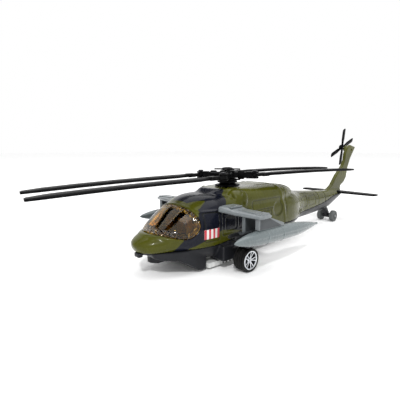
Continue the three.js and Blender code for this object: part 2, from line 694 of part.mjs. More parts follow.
for (const [side, name] of [[1, 'left'], [-1, 'right']]) {
  const inboard = side * INBOARD_X;
  const outboard = side * OUTBOARD_X;
  add(`${name}_stub_wing`, geometryOf(stubWing(side)), materials.greyPlastic);
  add(`${name}_inboard_pylon`, inboardPylon().translate(inboard, 0, 0), materials.greyPlastic);
  add(`${name}_outboard_pylon`, outboardPylon().translate(outboard, 0, 0), materials.greyPlastic);
  const rack = missileRack().translate([inboard, 0, 0]);
  add(`${name}_missile_rack`, geometryOf(rack), materials.chassisPlastic);
  add(`${name}_fuel_tank`, fuelTank().translate(outboard, 0, 0), materials.tankPlastic);
}

// ---------------------------------------------------------------- tailplane

function stabilator() {
  const { halfSpan, bottom, top } = STABILATOR;
  const tip = (x) => wingSection(x, 174.6, 187, bottom + 0.4, top - 0.4);
  const root = (x) => wingSection(x, 172, 190, bottom, top);
  return loft([tip(-halfSpan), root(-5), root(5), tip(halfSpan)]);
}

add('stabilator', geometryOf(solid(stabilator())), materials.rotorPlastic);

// ---------------------------------------------------------------- main rotor

const rotor = rotorGroup();
model.add(rotor);

function polar(radius, angle, z = 0) {
  return new THREE.Vector3(radius * Math.cos(angle), radius * Math.sin(angle), z);
}

// Four arms, 45 degrees each side of the two folded headings.
const ARMS = [
  { number: 1, angle: FOLD_HEADING + 45 * DEGREE, heading: FOLD_HEADING },
  { number: 2, angle: FOLD_HEADING + 135 * DEGREE, heading: FOLD_HEADING + 180 * DEGREE },
  { number: 3, angle: FOLD_HEADING + 225 * DEGREE, heading: FOLD_HEADING + 180 * DEGREE },
  { number: 4, angle: FOLD_HEADING - 45 * DEGREE, heading: FOLD_HEADING },
];

// The hub barrel and, on each arm, a fork of two plates that holds a blade root.
function rotorHub() {
  const { level, root } = BLADE;
  const lowTop = level - root / 2 - GAP;
  const highBottom = level + root / 2 + GAP;
  const lowPlate = [lowTop - HUB_PLATE, lowTop];
  const highPlate = [highBottom, highBottom + HUB_PLATE];
  let hub = solid(rod('z', 5, lowPlate[0], highPlate[1] + 0.7, [0, 0]));
  for (const { angle } of ARMS) {
    const web = box(3, 14, -2.4, 2.4, lowPlate[0], highPlate[1]);
    const plates = [lowPlate, highPlate].map(([z0, z1]) => box(13, 20.4, -2.6, 2.6, z0, z1));
    const arm = union([web, ...plates].map(solid));
    const hole = solid(rod('z', FOLD_PIN.shank + GAP, 0, 12, [FOLD_PIN.distance, 0]));
    hub = hub.add(arm.subtract(hole).rotate([0, 0, angle / DEGREE]));
  }
  return hub.subtract(solid(rod('z', MAST_RADIUS + GAP, 0, 20, [0, 0])));
}

function hubCap() {
  const dome = turned([[0, 10.9], [4.4, 10.9], [4.4, 11.6], [2.4, 12.6], [0, 12.6]]);
  const arm = solid(box(2, 8.6, -1.1, 1.1, 10.9, 11.8));
  return union([solid(dome), ...ARMS.map(({ angle }) => arm.rotate([0, 0, angle / DEGREE]))]);
}

function upperSwashplate() {
  const ring = solid(washer(MAST_RADIUS + GAP, 6.2, 4, 5));
  const lug = solid(box(5, 8.6, -1, 1, 4, 5));
  return union([ring, ...ARMS.map(({ angle }) => lug.rotate([0, 0, angle / DEGREE]))]);
}

// One blade, lying along local +X from its folding pin, drooping and swept at the tip.
function blade() {
  const { length, chord, thickness, droop, level, root } = BLADE;
  const front = chord * 0.35;
  const rear = chord * 0.65;
  const stations = [[2, 2.6, 2.6, root], [12, 2.6, 2.6, root], [19, front, rear, thickness],
    [60, front, rear, thickness], [97, front, rear, 1.7], [length, front * 0.3, rear * 0.85, 1.4]];
  const rings = stations.map(([x, ahead, behind, thick]) => {
    const z = level - droop * (x / length) ** 2.4;
    const half = thick / 2;
    const ring = [[-ahead, 0], [0.5 - ahead, half], [behind * 0.7, half], [behind, 0.5], [behind, -0.5],
      [behind * 0.7, -half], [0.5 - ahead, -half]];
    return ring.map(([y, dz]) => new THREE.Vector3(x, y, z + dz));
  });
  const eye = solid(rod('z', 2.6, level - root / 2, level + root / 2, [0, 0]));
  const hole = solid(rod('z', FOLD_PIN.shank + GAP, level - root, level + root, [0, 0]));
  return geometryOf(solid(loft(rings)).add(eye).subtract(hole));
}

function foldPin() {
  const shank = rod('z', FOLD_PIN.shank, 5, 10, [0, 0]);
  const head = rod('z', FOLD_PIN.head, 9.95, 10.7, [0, 0]);
  return geometryOf(solid(shank).add(solid(head)));
}

// A flanged bush that plugs into the roof round the mast.
function mastCollar() {
  const bore = MAST_RADIUS + GAP;
  return turned([[bore, -1.5], [COLLAR_NECK, -1.5], [COLLAR_NECK, 0.6], [8.4, 0.6], [7.6, 1.4],
    [4.4, 2.4], [bore, 2.4]]);
}

add('mast_collar', mastCollar(), materials.rotorPlastic, rotor);
add('lower_swashplate', washer(MAST_RADIUS + GAP, 6.6, 2.7, 3.7), materials.rotorPlastic, rotor);
add('rotor_mast', rod('z', MAST_RADIUS, -6, 10.4, [0, 0]), materials.steel, rotor);
add('mast_clip', washer(MAST_RADIUS + GAP, 3.4, -4.4, -3.4), materials.steel, rotor);
add('upper_swashplate', geometryOf(upperSwashplate()), materials.rotorPlastic, rotor);
add('rotor_hub', geometryOf(rotorHub()), materials.rotorPlastic, rotor);
add('hub_cap', geometryOf(hubCap()), materials.rotorPlastic, rotor);
for (const { number, angle, heading } of ARMS) {
  const place = polar(FOLD_PIN.distance, angle);
  const pin = add(`fold_pin_${number}`, foldPin(), materials.steel, rotor);
  pin.position.copy(place);
  const wing = add(`main_blade_${number}`, blade(), materials.rotorPlastic, rotor);
  wing.position.copy(place);
  wing.rotation.z = heading;
}

// ---------------------------------------------------------------- tail rotor

const tailRotor = tailRotorGroup();
model.add(tailRotor);

// Hub and four narrow blades in one moulding; local Z is the shaft.
function tailRotorBlades() {
  const { radius, chord, phase } = TAIL_ROTOR;
  let body = solid(rod('z', 2.8, -1.6, 1.6, [0, 0]));
  for (let k = 0; k < 4; k += 1) {
    const half = chord / 2;
    const outline = [[2, -1.1], [5, -1.1], [8, -half], [radius - 1, -half], [radius, 1 - half],
      [radius, half], [8, half], [5, 1.1], [2, 1.1]];
    const shape = new THREE.Shape(outline.map(([x, y]) => new THREE.Vector2(x, y)));
    const flat = new THREE.ExtrudeGeometry(shape, { depth: 1.2, bevelEnabled: false });
    const blade = solid(flat.translate(0, 0, -0.6));
    body = body.add(blade.rotate([0, 0, 90 - phase / DEGREE + 90 * k]));
  }
  return body.subtract(solid(rod('z', 1 + GAP, -3, 3, [0, 0])));
}

const tailRotorNut = [[0, 1.9], [2.2, 1.9], [2.2, 2.6], [1.2, 3.2], [0, 3.2]];
add('tail_rotor_shaft', rod('z', 1, -8.6, 1.6, [0, 0], 20), materials.steel, tailRotor);
add('tail_rotor', geometryOf(tailRotorBlades()), materials.rotorPlastic, tailRotor);
add('tail_rotor_cap', turned(tailRotorNut), materials.rotorPlastic, tailRotor);

// ---------------------------------------------------------------- place the whole toy

// Centre the toy over the origin, standing on z = 0, with room left and right alike.
const bounds = new THREE.Box3().setFromObject(model, true);
const middle = bounds.getCenter(new THREE.Vector3());
model.position.set(-middle.x, -middle.y, -bounds.min.z);
model.updateMatrixWorld(true);

export default model;
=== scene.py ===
import itertools
import json
import math

import bpy
import numpy as np
from mathutils import Matrix, Vector


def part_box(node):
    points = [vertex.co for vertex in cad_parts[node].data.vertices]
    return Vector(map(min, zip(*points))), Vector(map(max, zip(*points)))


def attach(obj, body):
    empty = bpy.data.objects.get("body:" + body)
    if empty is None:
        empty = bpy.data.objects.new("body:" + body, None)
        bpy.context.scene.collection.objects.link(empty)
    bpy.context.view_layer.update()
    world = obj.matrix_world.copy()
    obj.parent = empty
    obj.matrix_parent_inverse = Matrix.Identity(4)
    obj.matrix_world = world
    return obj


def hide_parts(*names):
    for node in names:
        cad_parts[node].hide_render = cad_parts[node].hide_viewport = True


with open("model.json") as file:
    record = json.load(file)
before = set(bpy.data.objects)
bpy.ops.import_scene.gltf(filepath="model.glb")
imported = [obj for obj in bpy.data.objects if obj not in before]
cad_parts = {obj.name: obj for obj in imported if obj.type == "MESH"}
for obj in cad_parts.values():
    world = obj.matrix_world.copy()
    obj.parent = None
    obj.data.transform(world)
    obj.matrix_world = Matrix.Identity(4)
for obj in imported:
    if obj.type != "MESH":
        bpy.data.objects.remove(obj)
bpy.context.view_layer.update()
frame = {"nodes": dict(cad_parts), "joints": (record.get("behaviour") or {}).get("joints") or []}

# Shapes are drawn in millimetres from the middle of the main axle: y to the tail, x to the
# port side and z up from the ground. ROW takes them to the frame's metres.
MM = 0.001
AXLE_LOW, AXLE_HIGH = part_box("main_axle")
AXLE_Y = (AXLE_LOW.y + AXLE_HIGH.y) / 2
ROW = Matrix.Translation((0, AXLE_Y, 0)) @ Matrix.Scale(MM, 4)
JOINTS = {joint["name"]: joint for joint in frame["joints"]}

# ------------------------------------------------------------------ driving dimensions

WALL = 1.8
GLASS_THICKNESS = 1.4
SEAM_GAP = 0.3
TOP_LINE = [[-55.4, 20.1], [-53.6, 21.8], [-50, 23.8], [-44, 26.2], [-38, 30.6], [-30, 36.2], [-19, 41.4],
            [-8, 43], [10, 42.4], [50, 41], [75, 38.6], [90, 36], [154, 30.4], [186, 28.6]]
BOTTOM_LINE = [[-55.4, 18.5], [-53.6, 15.4], [-50, 13.2], [-38, 11.8], [-30, 9], [-20, 5.6],
               [-10, 4.6], [12, 4.6], [30, 6], [60, 9], [83, 11.4], [105, 11.8], [134, 12.6],
               [153, 13.8], [162, 16.4], [186, 24.6]]
HALF_WIDTH = [[-55.4, 1.5], [-53.6, 5.8], [-50, 9.6], [-44, 13], [-38, 15.8], [-30, 18.6],
              [-20, 20.6], [-10, 21.2], [60, 21.2], [70, 20.4], [80, 17.6], [94, 11.4], [110, 9.4],
              [154, 5.9], [186, 3.2]]
SQUARENESS = [[-55.4, 2.1], [-40, 2.15], [-30, 2.2], [-20, 2.6], [-8, 3.2], [60, 3.2], [94, 2.6], [186, 2.3]]
PARTING_LINE = [[-70, 15.2], [-15, 15.2], [8, 17.2], [90, 18.2], [140, 21.3], [165, 25.3], [240, 25.3]]
ROOF_CREST = [[-10, 41], [-3, 44], [2, 45.2], [34, 45.4], [44, 45.8], [60, 44.6], [74, 42.2],
              [84, 39], [90, 35]]
ROOF_SIDE = [[-10, 3], [-3, 8], [4, 10.6], [60, 10], [84, 6], [90, 3]]
WINDSCREEN = [[-52, 27.2], [-44, 24.2], [-34, 21.8], [-28.4, 22.8], [-25, 26], [-24, 29.5],
              [-24.6, 33.4], [-27.2, 38.6], [-36, 48], [-60, 44]]
FIN = [[148, 26], [157.5, 31.4], [164, 34.5], [173, 43.8], [185, 52.5], [189, 58.4], [189.6, 64.5],
       [193.5, 70.5], [200, 73.2], [212, 71], [201.5, 59.5], [196.6, 50.5], [194, 40.4],
       [189.5, 36], [182.5, 32.8], [181.5, 28.4], [176, 26]]
COWL = {"x": 12.6, "z": 37.6, "mouth": 4.6}
COWL_RADIUS = [[5.4, 5.4], [6.4, 6.2], [9, 7.1], [16, 7.7], [30, 7.7], [52, 7.5], [60, 6.2],
               [67, 4], [72, 2.2]]
COWL_BULBS = [[(12.8, 6.8, 39.2), (2.6, 3, 4.4)], [(17.6, 12.2, 38.8), (3.2, 3.4, 5.8)]]
KEEL = [[-49, 15], [-47.5, 12], [-44, 10.7], [-36.5, 9.4], [-31, 6.9], [-28, 5], [-23, 1.6], [-20, 1],
        [-17, 1], [-17, 15]]
KEEL_HALF_WIDTH = [[-49, 8], [-40, 13], [-33, 16.4], [-17, 16.4]]
MOTOR_OPENING = {"x": 11.3, "front": -11.8, "rear": 14.8}
AXLE = {"radius": 1, "z": 7}
TAIL_SHAFT = {"radius": 1.3, "gearbox": 3.2}
STABILATOR = {"half_span": 37.6, "bottom": 25.5, "top": 28}
HOLLOW = {"front": -50, "rear": 154}
STABILATOR_SLOT = {"half_width": 14, "front": 171.4, "rear": 230, "bottom": 20}
MAST_HOLE = {"radius": 3.6, "half_depth": 9}
CABIN_LEDGE = {"z": 35.4, "height": 0.55, "half_thickness": 0.5, "front": -25, "rear": -11}
DOOR_RIDGE = {"y": 52, "z": 34.6, "lean": 0.24, "height": 0.35, "half_thickness": 1.3, "bottom": 18}
CHIN = {"y": -41.5, "half_length": 4.5, "z": 10.5, "half_height": 3, "half_width": 5}
NOSE_LUG = [(-1.4, -54.2, 12.6), (3, -51.4, 16)]
AXLE_BLOCK = [(13, -11, 5.6), (24.2, 10, 14.6)]
AXLE_WEB = [(13, -4, 13), (25, 7, 16.2)]
WHEEL_GUARD = [(23.8, -4, 14.8), (36, 7, 16.2)]
TAIL_SOCKET = {"y": 155, "z": 13, "radius": 2.3, "half_height": 4.4}
BODY_MESH_STEP = 0.55
GLASS_MESH_STEP = 0.45

# ------------------------------------------------------------------ solids as distance fields


def smooth_line(points):
    """The smooth curve through [y, value] pairs, as a function of y."""
    ys, values = np.array(points, float).T
    ends = np.arange(len(ys))
    before, after = np.maximum(ends - 1, 0), np.minimum(ends + 1, len(ys) - 1)
    slopes = (values[after] - values[before]) / (ys[after] - ys[before])

    def value(y):
        k = np.clip(np.searchsorted(ys, y) - 1, 0, len(ys) - 2)
        span = ys[k + 1] - ys[k]
        t = np.clip((y - ys[k]) / span, 0, 1)
        joined = values[k] * (2 * t**3 - 3 * t**2 + 1) + values[k + 1] * (3 * t**2 - 2 * t**3)
        return joined + span * (slopes[k] * (t**3 - 2 * t**2 + t) + slopes[k + 1] * (t**3 - t**2))

    return value


top_line = smooth_line(TOP_LINE)
bottom_line = smooth_line(BOTTOM_LINE)
half_width = smooth_line(HALF_WIDTH)
squareness = smooth_line(SQUARENESS)
parting_line = smooth_line(PARTING_LINE)
roof_crest = smooth_line(ROOF_CREST)
roof_side = smooth_line(ROOF_SIDE)
cowl_radius = smooth_line(COWL_RADIUS)


def either(a, b, fillet):
    """Joins two solids, with a fillet of about this radius where they meet."""
    share = np.clip(0.5 + 0.5 * (b - a) / fillet, 0, 1)
    return b + (a - b) * share - fillet * share * (1 - share)


def both(a, b, fillet):
    """What two solids have in common, with its new edges rounded."""
    return -either(-a, -b, fillet)


def cut(a, b, fillet=0.4):
    return both(a, -b, fillet)


def rounded_outline(points, steps=4):
    """A closed outline through corner points, with its corners turned into smooth curves."""
    points = np.array(points, float)
    count = len(points)
    curve = []
    for k in range(count):
        p = points[[(k - 1) % count, k, (k + 1) % count, (k + 2) % count]]
        for t in np.arange(steps) / steps:
            weights = [-t**3 + 2 * t**2 - t, 3 * t**3 - 5 * t**2 + 2, -3 * t**3 + 4 * t**2 + t, t**3 - t**2]
            curve.append(np.array(weights) @ p / 2)
    return np.array(curve)


def outline_distance(outline, y, z):
    """Distance from a closed side-view outline of [y, z] points, negative inside it."""
    nearest = np.inf
    inside = False
    for (y0, z0), (y1, z1) in zip(outline, np.roll(outline, -1, axis=0)):
        along_y, along_z = y1 - y0, z1 - z0
        t = np.clip(((y - y0) * along_y + (z - z0) * along_z) / (along_y**2 + along_z**2), 0, 1)
        nearest = np.minimum(nearest, (y - y0 - t * along_y) ** 2 + (z - z0 - t * along_z) ** 2)
        if z0 != z1:
            inside = inside ^ (((z0 > z) != (z1 > z)) & (y < y0 + (z - z0) * along_y / along_z))
    return np.where(inside, -1, 1) * np.sqrt(nearest)


def slab(outline, half, x, y, z, fillet=0.8):
    """A side-view outline as a solid plate on both sides of the middle, with rounded edges."""
    return both(outline_distance(np.array(outline, float), y, z), np.abs(x) - half, fillet)


def box_distance(x, y, z, low, high, fillet=0.6):
    reach = [np.abs(value - (a + b) / 2) - (b - a) / 2 for value, a, b in zip((x, y, z), low, high)]
    return both(both(reach[0], reach[1], fillet), reach[2], fillet)


def ellipsoid(x, y, z, middle, radii):
    scaled = [(value - m) / r for value, m, r in zip((x, y, z), middle, radii)]
    return (np.sqrt(scaled[0] ** 2 + scaled[1] ** 2 + scaled[2] ** 2) - 1) * min(radii)


def hull(x, y, z):
    """The plain fuselage: squared-off ovals from nose to tail."""
    top, bottom, half, power = top_line(y), bottom_line(y), half_width(y), squareness(y)
    height = (top - bottom) / 2
    reach = (np.abs(x) / half) ** power + (np.abs(z - (top + bottom) / 2) / height) ** power
    side = (reach ** (1 / power) - 1) * np.minimum(half, height)
    ends = np.maximum(TOP_LINE[0][0] - y, y - TOP_LINE[-1][0])
    return both(side, ends, 0.5)


def roof(x, y, z):
    """The raised fairing along the middle of the roof."""
    crest = roof_crest(y)
    wall = np.abs(x) - roof_side(y) - 0.3 * (crest - z)
    ends = np.maximum(ROOF_CREST[0][0] - y, y - ROOF_CREST[-1][0])
    return both(both(both(z - crest, wall, 1.6), ends, 1), 33 - z, 0.5)


def cowl(x, y, z):
    """Both engine cowls: round pods with a shallow mouth, and a bulb in it and one beside it."""
    away = np.hypot(np.abs(x) - COWL["x"], z - COWL["z"])
    pod = both(away - cowl_radius(y), np.maximum(COWL_RADIUS[0][0] - y, y - COWL_RADIUS[-1][0]), 1.2)
    mouth = both(away - COWL["mouth"] + 0.14 * (y - 6), y - 8, 1)
    pod = cut(pod, mouth, 0.6)
    for middle, radii in COWL_BULBS:
        pod = either(pod, ellipsoid(np.abs(x), y, z, middle, radii), 0.4)
    return pod


def tail_shaft_axis(x, y, z):
    """Distance from the tail rotor's axis, and the place along it."""
    start = np.array(ROW.inverted() @ Vector(JOINTS["tail_rotor_spin"]["pos_m"]))
    way = np.array(JOINTS["tail_rotor_spin"]["axis"])
    along = (x - start[0]) * way[0] + (y - start[1]) * way[1] + (z - start[2]) * way[2]
    squared = (x - start[0]) ** 2 + (y - start[1]) ** 2 + (z - start[2]) ** 2
    return np.sqrt(np.maximum(squared - along**2, 1e-9)), along


def outer_skin(x, y, z):
    """The whole fuselage with roof, cowls and fin, before it is hollowed and split."""
    skin = either(hull(x, y, z), roof(x, y, z), 1.6)
    skin = either(skin, cowl(x, y, z), 1)
    skin = either(skin, slab(FIN, 1.8 - 0.012 * (z - 30), x, y, z), 1.6)
    away, along = tail_shaft_axis(x, y, z)
    gearbox = both(away - TAIL_SHAFT["gearbox"], np.abs(along + 6) - 3.2, 0.8)
    return either(skin, gearbox, 0.8)


# Panels on the sides, as [front, rear, bottom, top] of rounded rectangles.
SIDE_PANELS = [[-21.5, -11, 18.4, 34.6], [-8.5, 16, 20.2, 33.2], [20, 38, 21.5, 29.6],
               [94, 104, 22.4, 30.6], [107.5, 121, 22.6, 30]]
SIDE_WINDOWS = [[-19.8, -8.6, 36.6, 40.6], [-6, 3, 23, 30.6], [5.4, 13.6, 23, 30.6]]
COWL_PANEL = [19, 49.5, 31, 37.2]
# Rings round the fuselage, as [front, rear] of the bands between two of them.
BANDS = [[56.4, 84.5], [128, 142]]
OVAL_HATCH = {"y": 46, "z": 29.4, "half_length": 5.3, "half_height": 4.8}


def rectangle(y, z, front, rear, bottom, top, corner=1.2):
    """Distance from a rounded rectangle in the side view."""
    across = np.abs(y - (front + rear) / 2) - (rear - front) / 2 + corner
    up = np.abs(z - (bottom + top) / 2) - (top - bottom) / 2 + corner
    outside = np.hypot(np.maximum(across, 0), np.maximum(up, 0))
    return outside + np.minimum(np.maximum(across, up), 0) - corner


def hatch_reach(y, z):
    """How far out from the oval hatch's middle a place is, as a share: 1 on its edge."""
    return np.hypot((y - OVAL_HATCH["y"]) / OVAL_HATCH["half_length"],
                    (z - OVAL_HATCH["z"]) / OVAL_HATCH["half_height"])


def panel_field(x, y, z):
    """Zero along every door, window and hatch outline on the sides and cowls."""
    doors = np.min([rectangle(y, z, *panel) for panel in SIDE_PANELS], axis=0)
    windows = np.min([rectangle(y, z, *pane) for pane in SIDE_WINDOWS], axis=0)
    oval = (hatch_reach(y, z) - 1) * OVAL_HATCH["half_height"]
    hatches = np.minimum(rectangle(y, z, *COWL_PANEL), oval)
    field = np.minimum(np.maximum(doors, -windows), hatches)
    return np.maximum(field, 3 - np.abs(x))


def band_field(x, y, z):
    """Zero along the seams that run round the fuselage."""
    bands = np.min([np.abs(y - (a + b) / 2) - (b - a) / 2 for a, b in BANDS], axis=0)
    return bands + 0 * x + 0 * z


def groove(field, depth, width):
    return depth * np.exp(-((field / width) ** 2))


WINDSCREEN_CURVE = rounded_outline(WINDSCREEN, 3)


def hollow(x, y, z):
    """The space inside the fuselage, which stops short of its two ends."""
    return np.maximum(hull(x, y, z) + WALL, np.maximum(HOLLOW["front"] - y, y - HOLLOW["rear"]))


def surface_detail(x, y, z):
    """What to add to the skin's distance: grooves above zero, ridges below it."""
    detail = groove(panel_field(x, y, z), 0.28, 0.32) + groove(band_field(x, y, z), 0.3, 0.35)
    detail = detail + 0.45 * np.clip((1 - hatch_reach(y, z)) * 6, 0, 1)
    across = y - DOOR_RIDGE["y"] - (DOOR_RIDGE["z"] - z) * DOOR_RIDGE["lean"]
    ridge = groove(across, DOOR_RIDGE["height"], DOOR_RIDGE["half_thickness"]) * (z > DOOR_RIDGE["bottom"])
    ends = np.clip(CABIN_LEDGE["rear"] - y, 0, 1) * np.clip(y - CABIN_LEDGE["front"], 0, 1)
    ledge = groove(z - CABIN_LEDGE["z"], CABIN_LEDGE["height"], CABIN_LEDGE["half_thickness"]) * ends
    return detail - ridge - ledge


def upper_body(x, y, z):
    """The painted upper casting: the skin with its detail, hollowed, with its openings cut."""
    skin = outer_skin(x, y, z) + surface_detail(x, y, z)
    opening = outline_distance(WINDSCREEN_CURVE, y, z)
    skin = skin - groove(opening - 0.7, 0.3, 0.8)
    shell = cut(cut(skin, hollow(x, y, z)), opening, 0.3)
    shell = both(shell, parting_line(y) + SEAM_GAP / 2 - z, 0.3)
    half = STABILATOR_SLOT["half_width"]
    slot = box_distance(x, y, z, (-half, STABILATOR_SLOT["front"], STABILATOR_SLOT["bottom"]),
                        (half, STABILATOR_SLOT["rear"], STABILATOR["top"] + SEAM_GAP))
    away, along = tail_shaft_axis(x, y, z)
    bore = both(away - TAIL_SHAFT["radius"], np.abs(along + 6) - 4, 0.1)
    mast = ROW.inverted() @ Vector(JOINTS["main_rotor_spin"]["pos_m"])
    mast_hole = both(np.hypot(x, y - mast.y) - MAST_HOLE["radius"],
                     np.abs(z - mast.z) - MAST_HOLE["half_depth"], 0.2)
    return cut(cut(cut(shell, slot), bore, 0.1), mast_hole, 0.3)


def lower_body(x, y, z):
    """The plastic chassis: the hull's underside with its keel, chin, axle blocks and wheel guards."""
    skin = hull(x, y, z)
    keel_half = np.interp(y, *np.array(KEEL_HALF_WIDTH, float).T)
    keel = both(outline_distance(np.array(KEEL, float), y, z), np.abs(x) - keel_half, 1)
    skin = either(skin, keel, 0.8)
    chin_half = CHIN["half_width"] - 1.2 * np.clip(-43 - y, 0, 3)
    chin = both(np.abs(x) - chin_half, np.abs(y - CHIN["y"]) - CHIN["half_length"], 0.6)
    chin = both(chin, np.abs(z - CHIN["z"]) - CHIN["half_height"], 0.6)
    lug = box_distance(x, y, z, *NOSE_LUG, 0.4)
    skin = either(either(skin, chin, 0.5), lug, 0.4)
    shell = both(cut(skin, hollow(x, y, z)), z - parting_line(y) + SEAM_GAP / 2, 0.3)
    side = np.abs(x)
    axle_block = box_distance(side, y, z, *AXLE_BLOCK, 1)
    mounting = either(axle_block, box_distance(side, y, z, *AXLE_WEB, 0.8), 0.6)
    mounting = either(mounting, box_distance(side, y, z, *WHEEL_GUARD, 0.5), 0.6)
    shell = either(shell, mounting, 0.6)
    opening = box_distance(x, y, z, (-MOTOR_OPENING["x"], MOTOR_OPENING["front"], -1),
                           (MOTOR_OPENING["x"], MOTOR_OPENING["rear"], 30))
    axle_hole = np.hypot(y, z - AXLE["z"]) - AXLE["radius"] - SEAM_GAP
    socket = both(np.hypot(x, y - TAIL_SOCKET["y"]) - TAIL_SOCKET["radius"],
                  np.abs(z - TAIL_SOCKET["z"]) - TAIL_SOCKET["half_height"], 0.1)
    return cut(cut(cut(shell, opening), axle_hole, 0.2), socket, 0.2)


def windscreen(x, y, z):
    """The glazing: a bulged sheet that follows the hull, a gap smaller than its opening."""
    skin = hull(x, y, z)
    opening = outline_distance(WINDSCREEN_CURVE, y, z)
    bulge = 0.35 * np.clip(-opening / 4, 0, 1)
    glass = cut(skin - bulge, skin + GLASS_THICKNESS - bulge, 0.2)
    return both(glass, opening + SEAM_GAP, 0.35)


# ------------------------------------------------------------------ meshes


def surface_net(distance, low, high, step):
    """A mesh of quads where the distance is zero, inside the box from low to high."""
    axes = [np.arange(a, b + step, step) for a, b in zip(low, high)]
    grid = [axes[0][:, None, None], axes[1][None, :, None], axes[2][None, None, :]]
    values = np.broadcast_to(distance(*grid), [len(axis) for axis in axes]).astype(np.float32)
    inside = values < 0
    size = np.array(values.shape)
    corners = [np.array(corner) for corner in itertools.product((0, 1), repeat=3)]
    filled = np.zeros(size - 1, np.uint8)
    for corner in corners:
        filled += inside[tuple(slice(c, n - 1 + c) for c, n in zip(corner, size))]
    cells = np.argwhere((filled > 0) & (filled < 8))
    total, hits = np.zeros(cells.shape), np.zeros(len(cells))
    for axis, corner in itertools.product(range(3), corners):
        if corner[axis]:
            continue
        start = cells + corner
        end = start + np.eye(3, dtype=int)[axis]
        a, b = values[tuple(start.T)], values[tuple(end.T)]
        crossed = (a < 0) != (b < 0)
        share = np.where(crossed, a / np.where(crossed, a - b, 1), 0)
        total += np.where(crossed[:, None], start + share[:, None] * (end - start), 0)
        hits += crossed
    points = np.array(low) + step * total / hits[:, None]
    number = np.full(size - 1, -1)
    number[tuple(cells.T)] = np.arange(len(cells))
    quads = []
    for axis in range(3):
        unit = np.eye(3, dtype=int)
        b, c = unit[(axis + 1) % 3], unit[(axis + 2) % 3]
        near = tuple(slice(0, n - 1) if k == axis else slice(1, n - 1) for k, n in enumerate(size))
        far = tuple(slice(1, n) if k == axis else slice(1, n - 1) for k, n in enumerate(size))
        start = np.argwhere(inside[near] != inside[far]) + (b + c)
        around = np.stack([number[tuple((start - offset).T)] for offset in (b + c, c, 0 * b, b)], 1)
        outward = inside[tuple(start.T)]
        quads.append(np.where(outward[:, None], around, around[:, ::-1]))
    return settle(points, distance), np.concatenate(quads)


def settle(points, distance):
    """Moves points onto the surface where the distance is zero, in two rounds."""
    reach = 0.05
    for _ in range(2):
        value = distance(*points.T)
        slope = np.stack([distance(*(points + move).T) - value for move in np.eye(3) * reach], 1) / reach
        step = value / np.maximum((slope**2).sum(1), 0.3)
        points = points - slope * np.clip(step, -0.25, 0.25)[:, None]
    return points


def loft(rings, closed=False):
    """A skin through rings of points; unless it closes on itself, its ends are fans."""
    rings = np.array(rings, float)
    count, size = rings.shape[:2]
    points = list(rings.reshape(-1, 3))
    faces = []
    for i in range(count if closed else count - 1):
        here, there = i * size, (i + 1) % count * size
        for j in range(size):
            k = (j + 1) % size
            faces.append((here + j, here + k, there + k, there + j))
    if not closed:
        for ring, flip in ((0, True), (count - 1, False)):
            middle = len(points)
            points.append(rings[ring].mean(0))
            for j in range(size):
                edge = (ring * size + j, ring * size + (j + 1) % size)
                faces.append((middle, *(edge[::-1] if flip else edge)))
    return np.array(points), faces


def lathe(profile, segments=48, closed=False):
    """A body turned about Z from [radius, height] pairs; a closed profile makes a ring."""
    angles = np.arange(segments) * 2 * math.pi / segments
    turn = np.stack([np.cos(angles), np.sin(angles)], 1)
    return loft([np.column_stack([turn * max(r, 1e-4), np.full(segments, h)]) for r, h in profile], closed)


def block(low, high):
    """A box, as a loft of two rectangles."""
    (x0, y0, z0), (x1, y1, z1) = low, high
    ring = [[x0, y0], [x1, y0], [x1, y1], [x0, y1]]
    return loft([[[x, y, z] for x, y in ring] for z in (z0, z1)])


def plate(outline, z0, z1):
    """A flat outline of [x, y] points, counter-clockwise, as a plate from z0 to z1."""
    outline = np.array(outline, float)
    count = len(outline)
    points = np.vstack([np.column_stack([outline, np.full(count, z)]) for z in (z0, z1)])
    faces = [(k, (k + 1) % count, (k + 1) % count + count, k + count) for k in range(count)]
    return points, [*faces, tuple(range(count))[::-1], tuple(range(count, 2 * count))]


def placed(part, matrix):
    points, faces = part
    moved = np.array([matrix @ Vector(p) for p in points])
    return moved, [f[::-1] for f in faces] if matrix.determinant() < 0 else faces


def joined(parts):
    points, faces, start = [], [], 0
    for part_points, part_faces in parts:
        points.append(np.array(part_points))
        faces += [tuple(int(v) + start for v in face) for face in part_faces]
        start += len(part_points)
    return np.vstack(points), faces


SIDE_VIEW = Matrix(((0, 0, 1, 0), (1, 0, 0, 0), (0, 1, 0, 0), (0, 0, 0, 1)))  # x, y, z -> y, z, x
ALONG_X = Matrix(((0, 0, 1, 0), (0, 1, 0, 0), (-1, 0, 0, 0), (0, 0, 0, 1)))  # z -> x
ALONG_Y = Matrix(((1, 0, 0, 0), (0, 0, 1, 0), (0, -1, 0, 0), (0, 0, 0, 1)))  # z -> y
MIRROR_X = Matrix.Scale(-1, 4, (1, 0, 0))
SIDES = [("left", Matrix.Identity(4)), ("right", MIRROR_X)]


def side_plate(outline, x0, x1):
    """A side-view outline of [y, z] points as a plate between x0 and x1."""
    return placed(plate(outline, x0, x1), SIDE_VIEW)


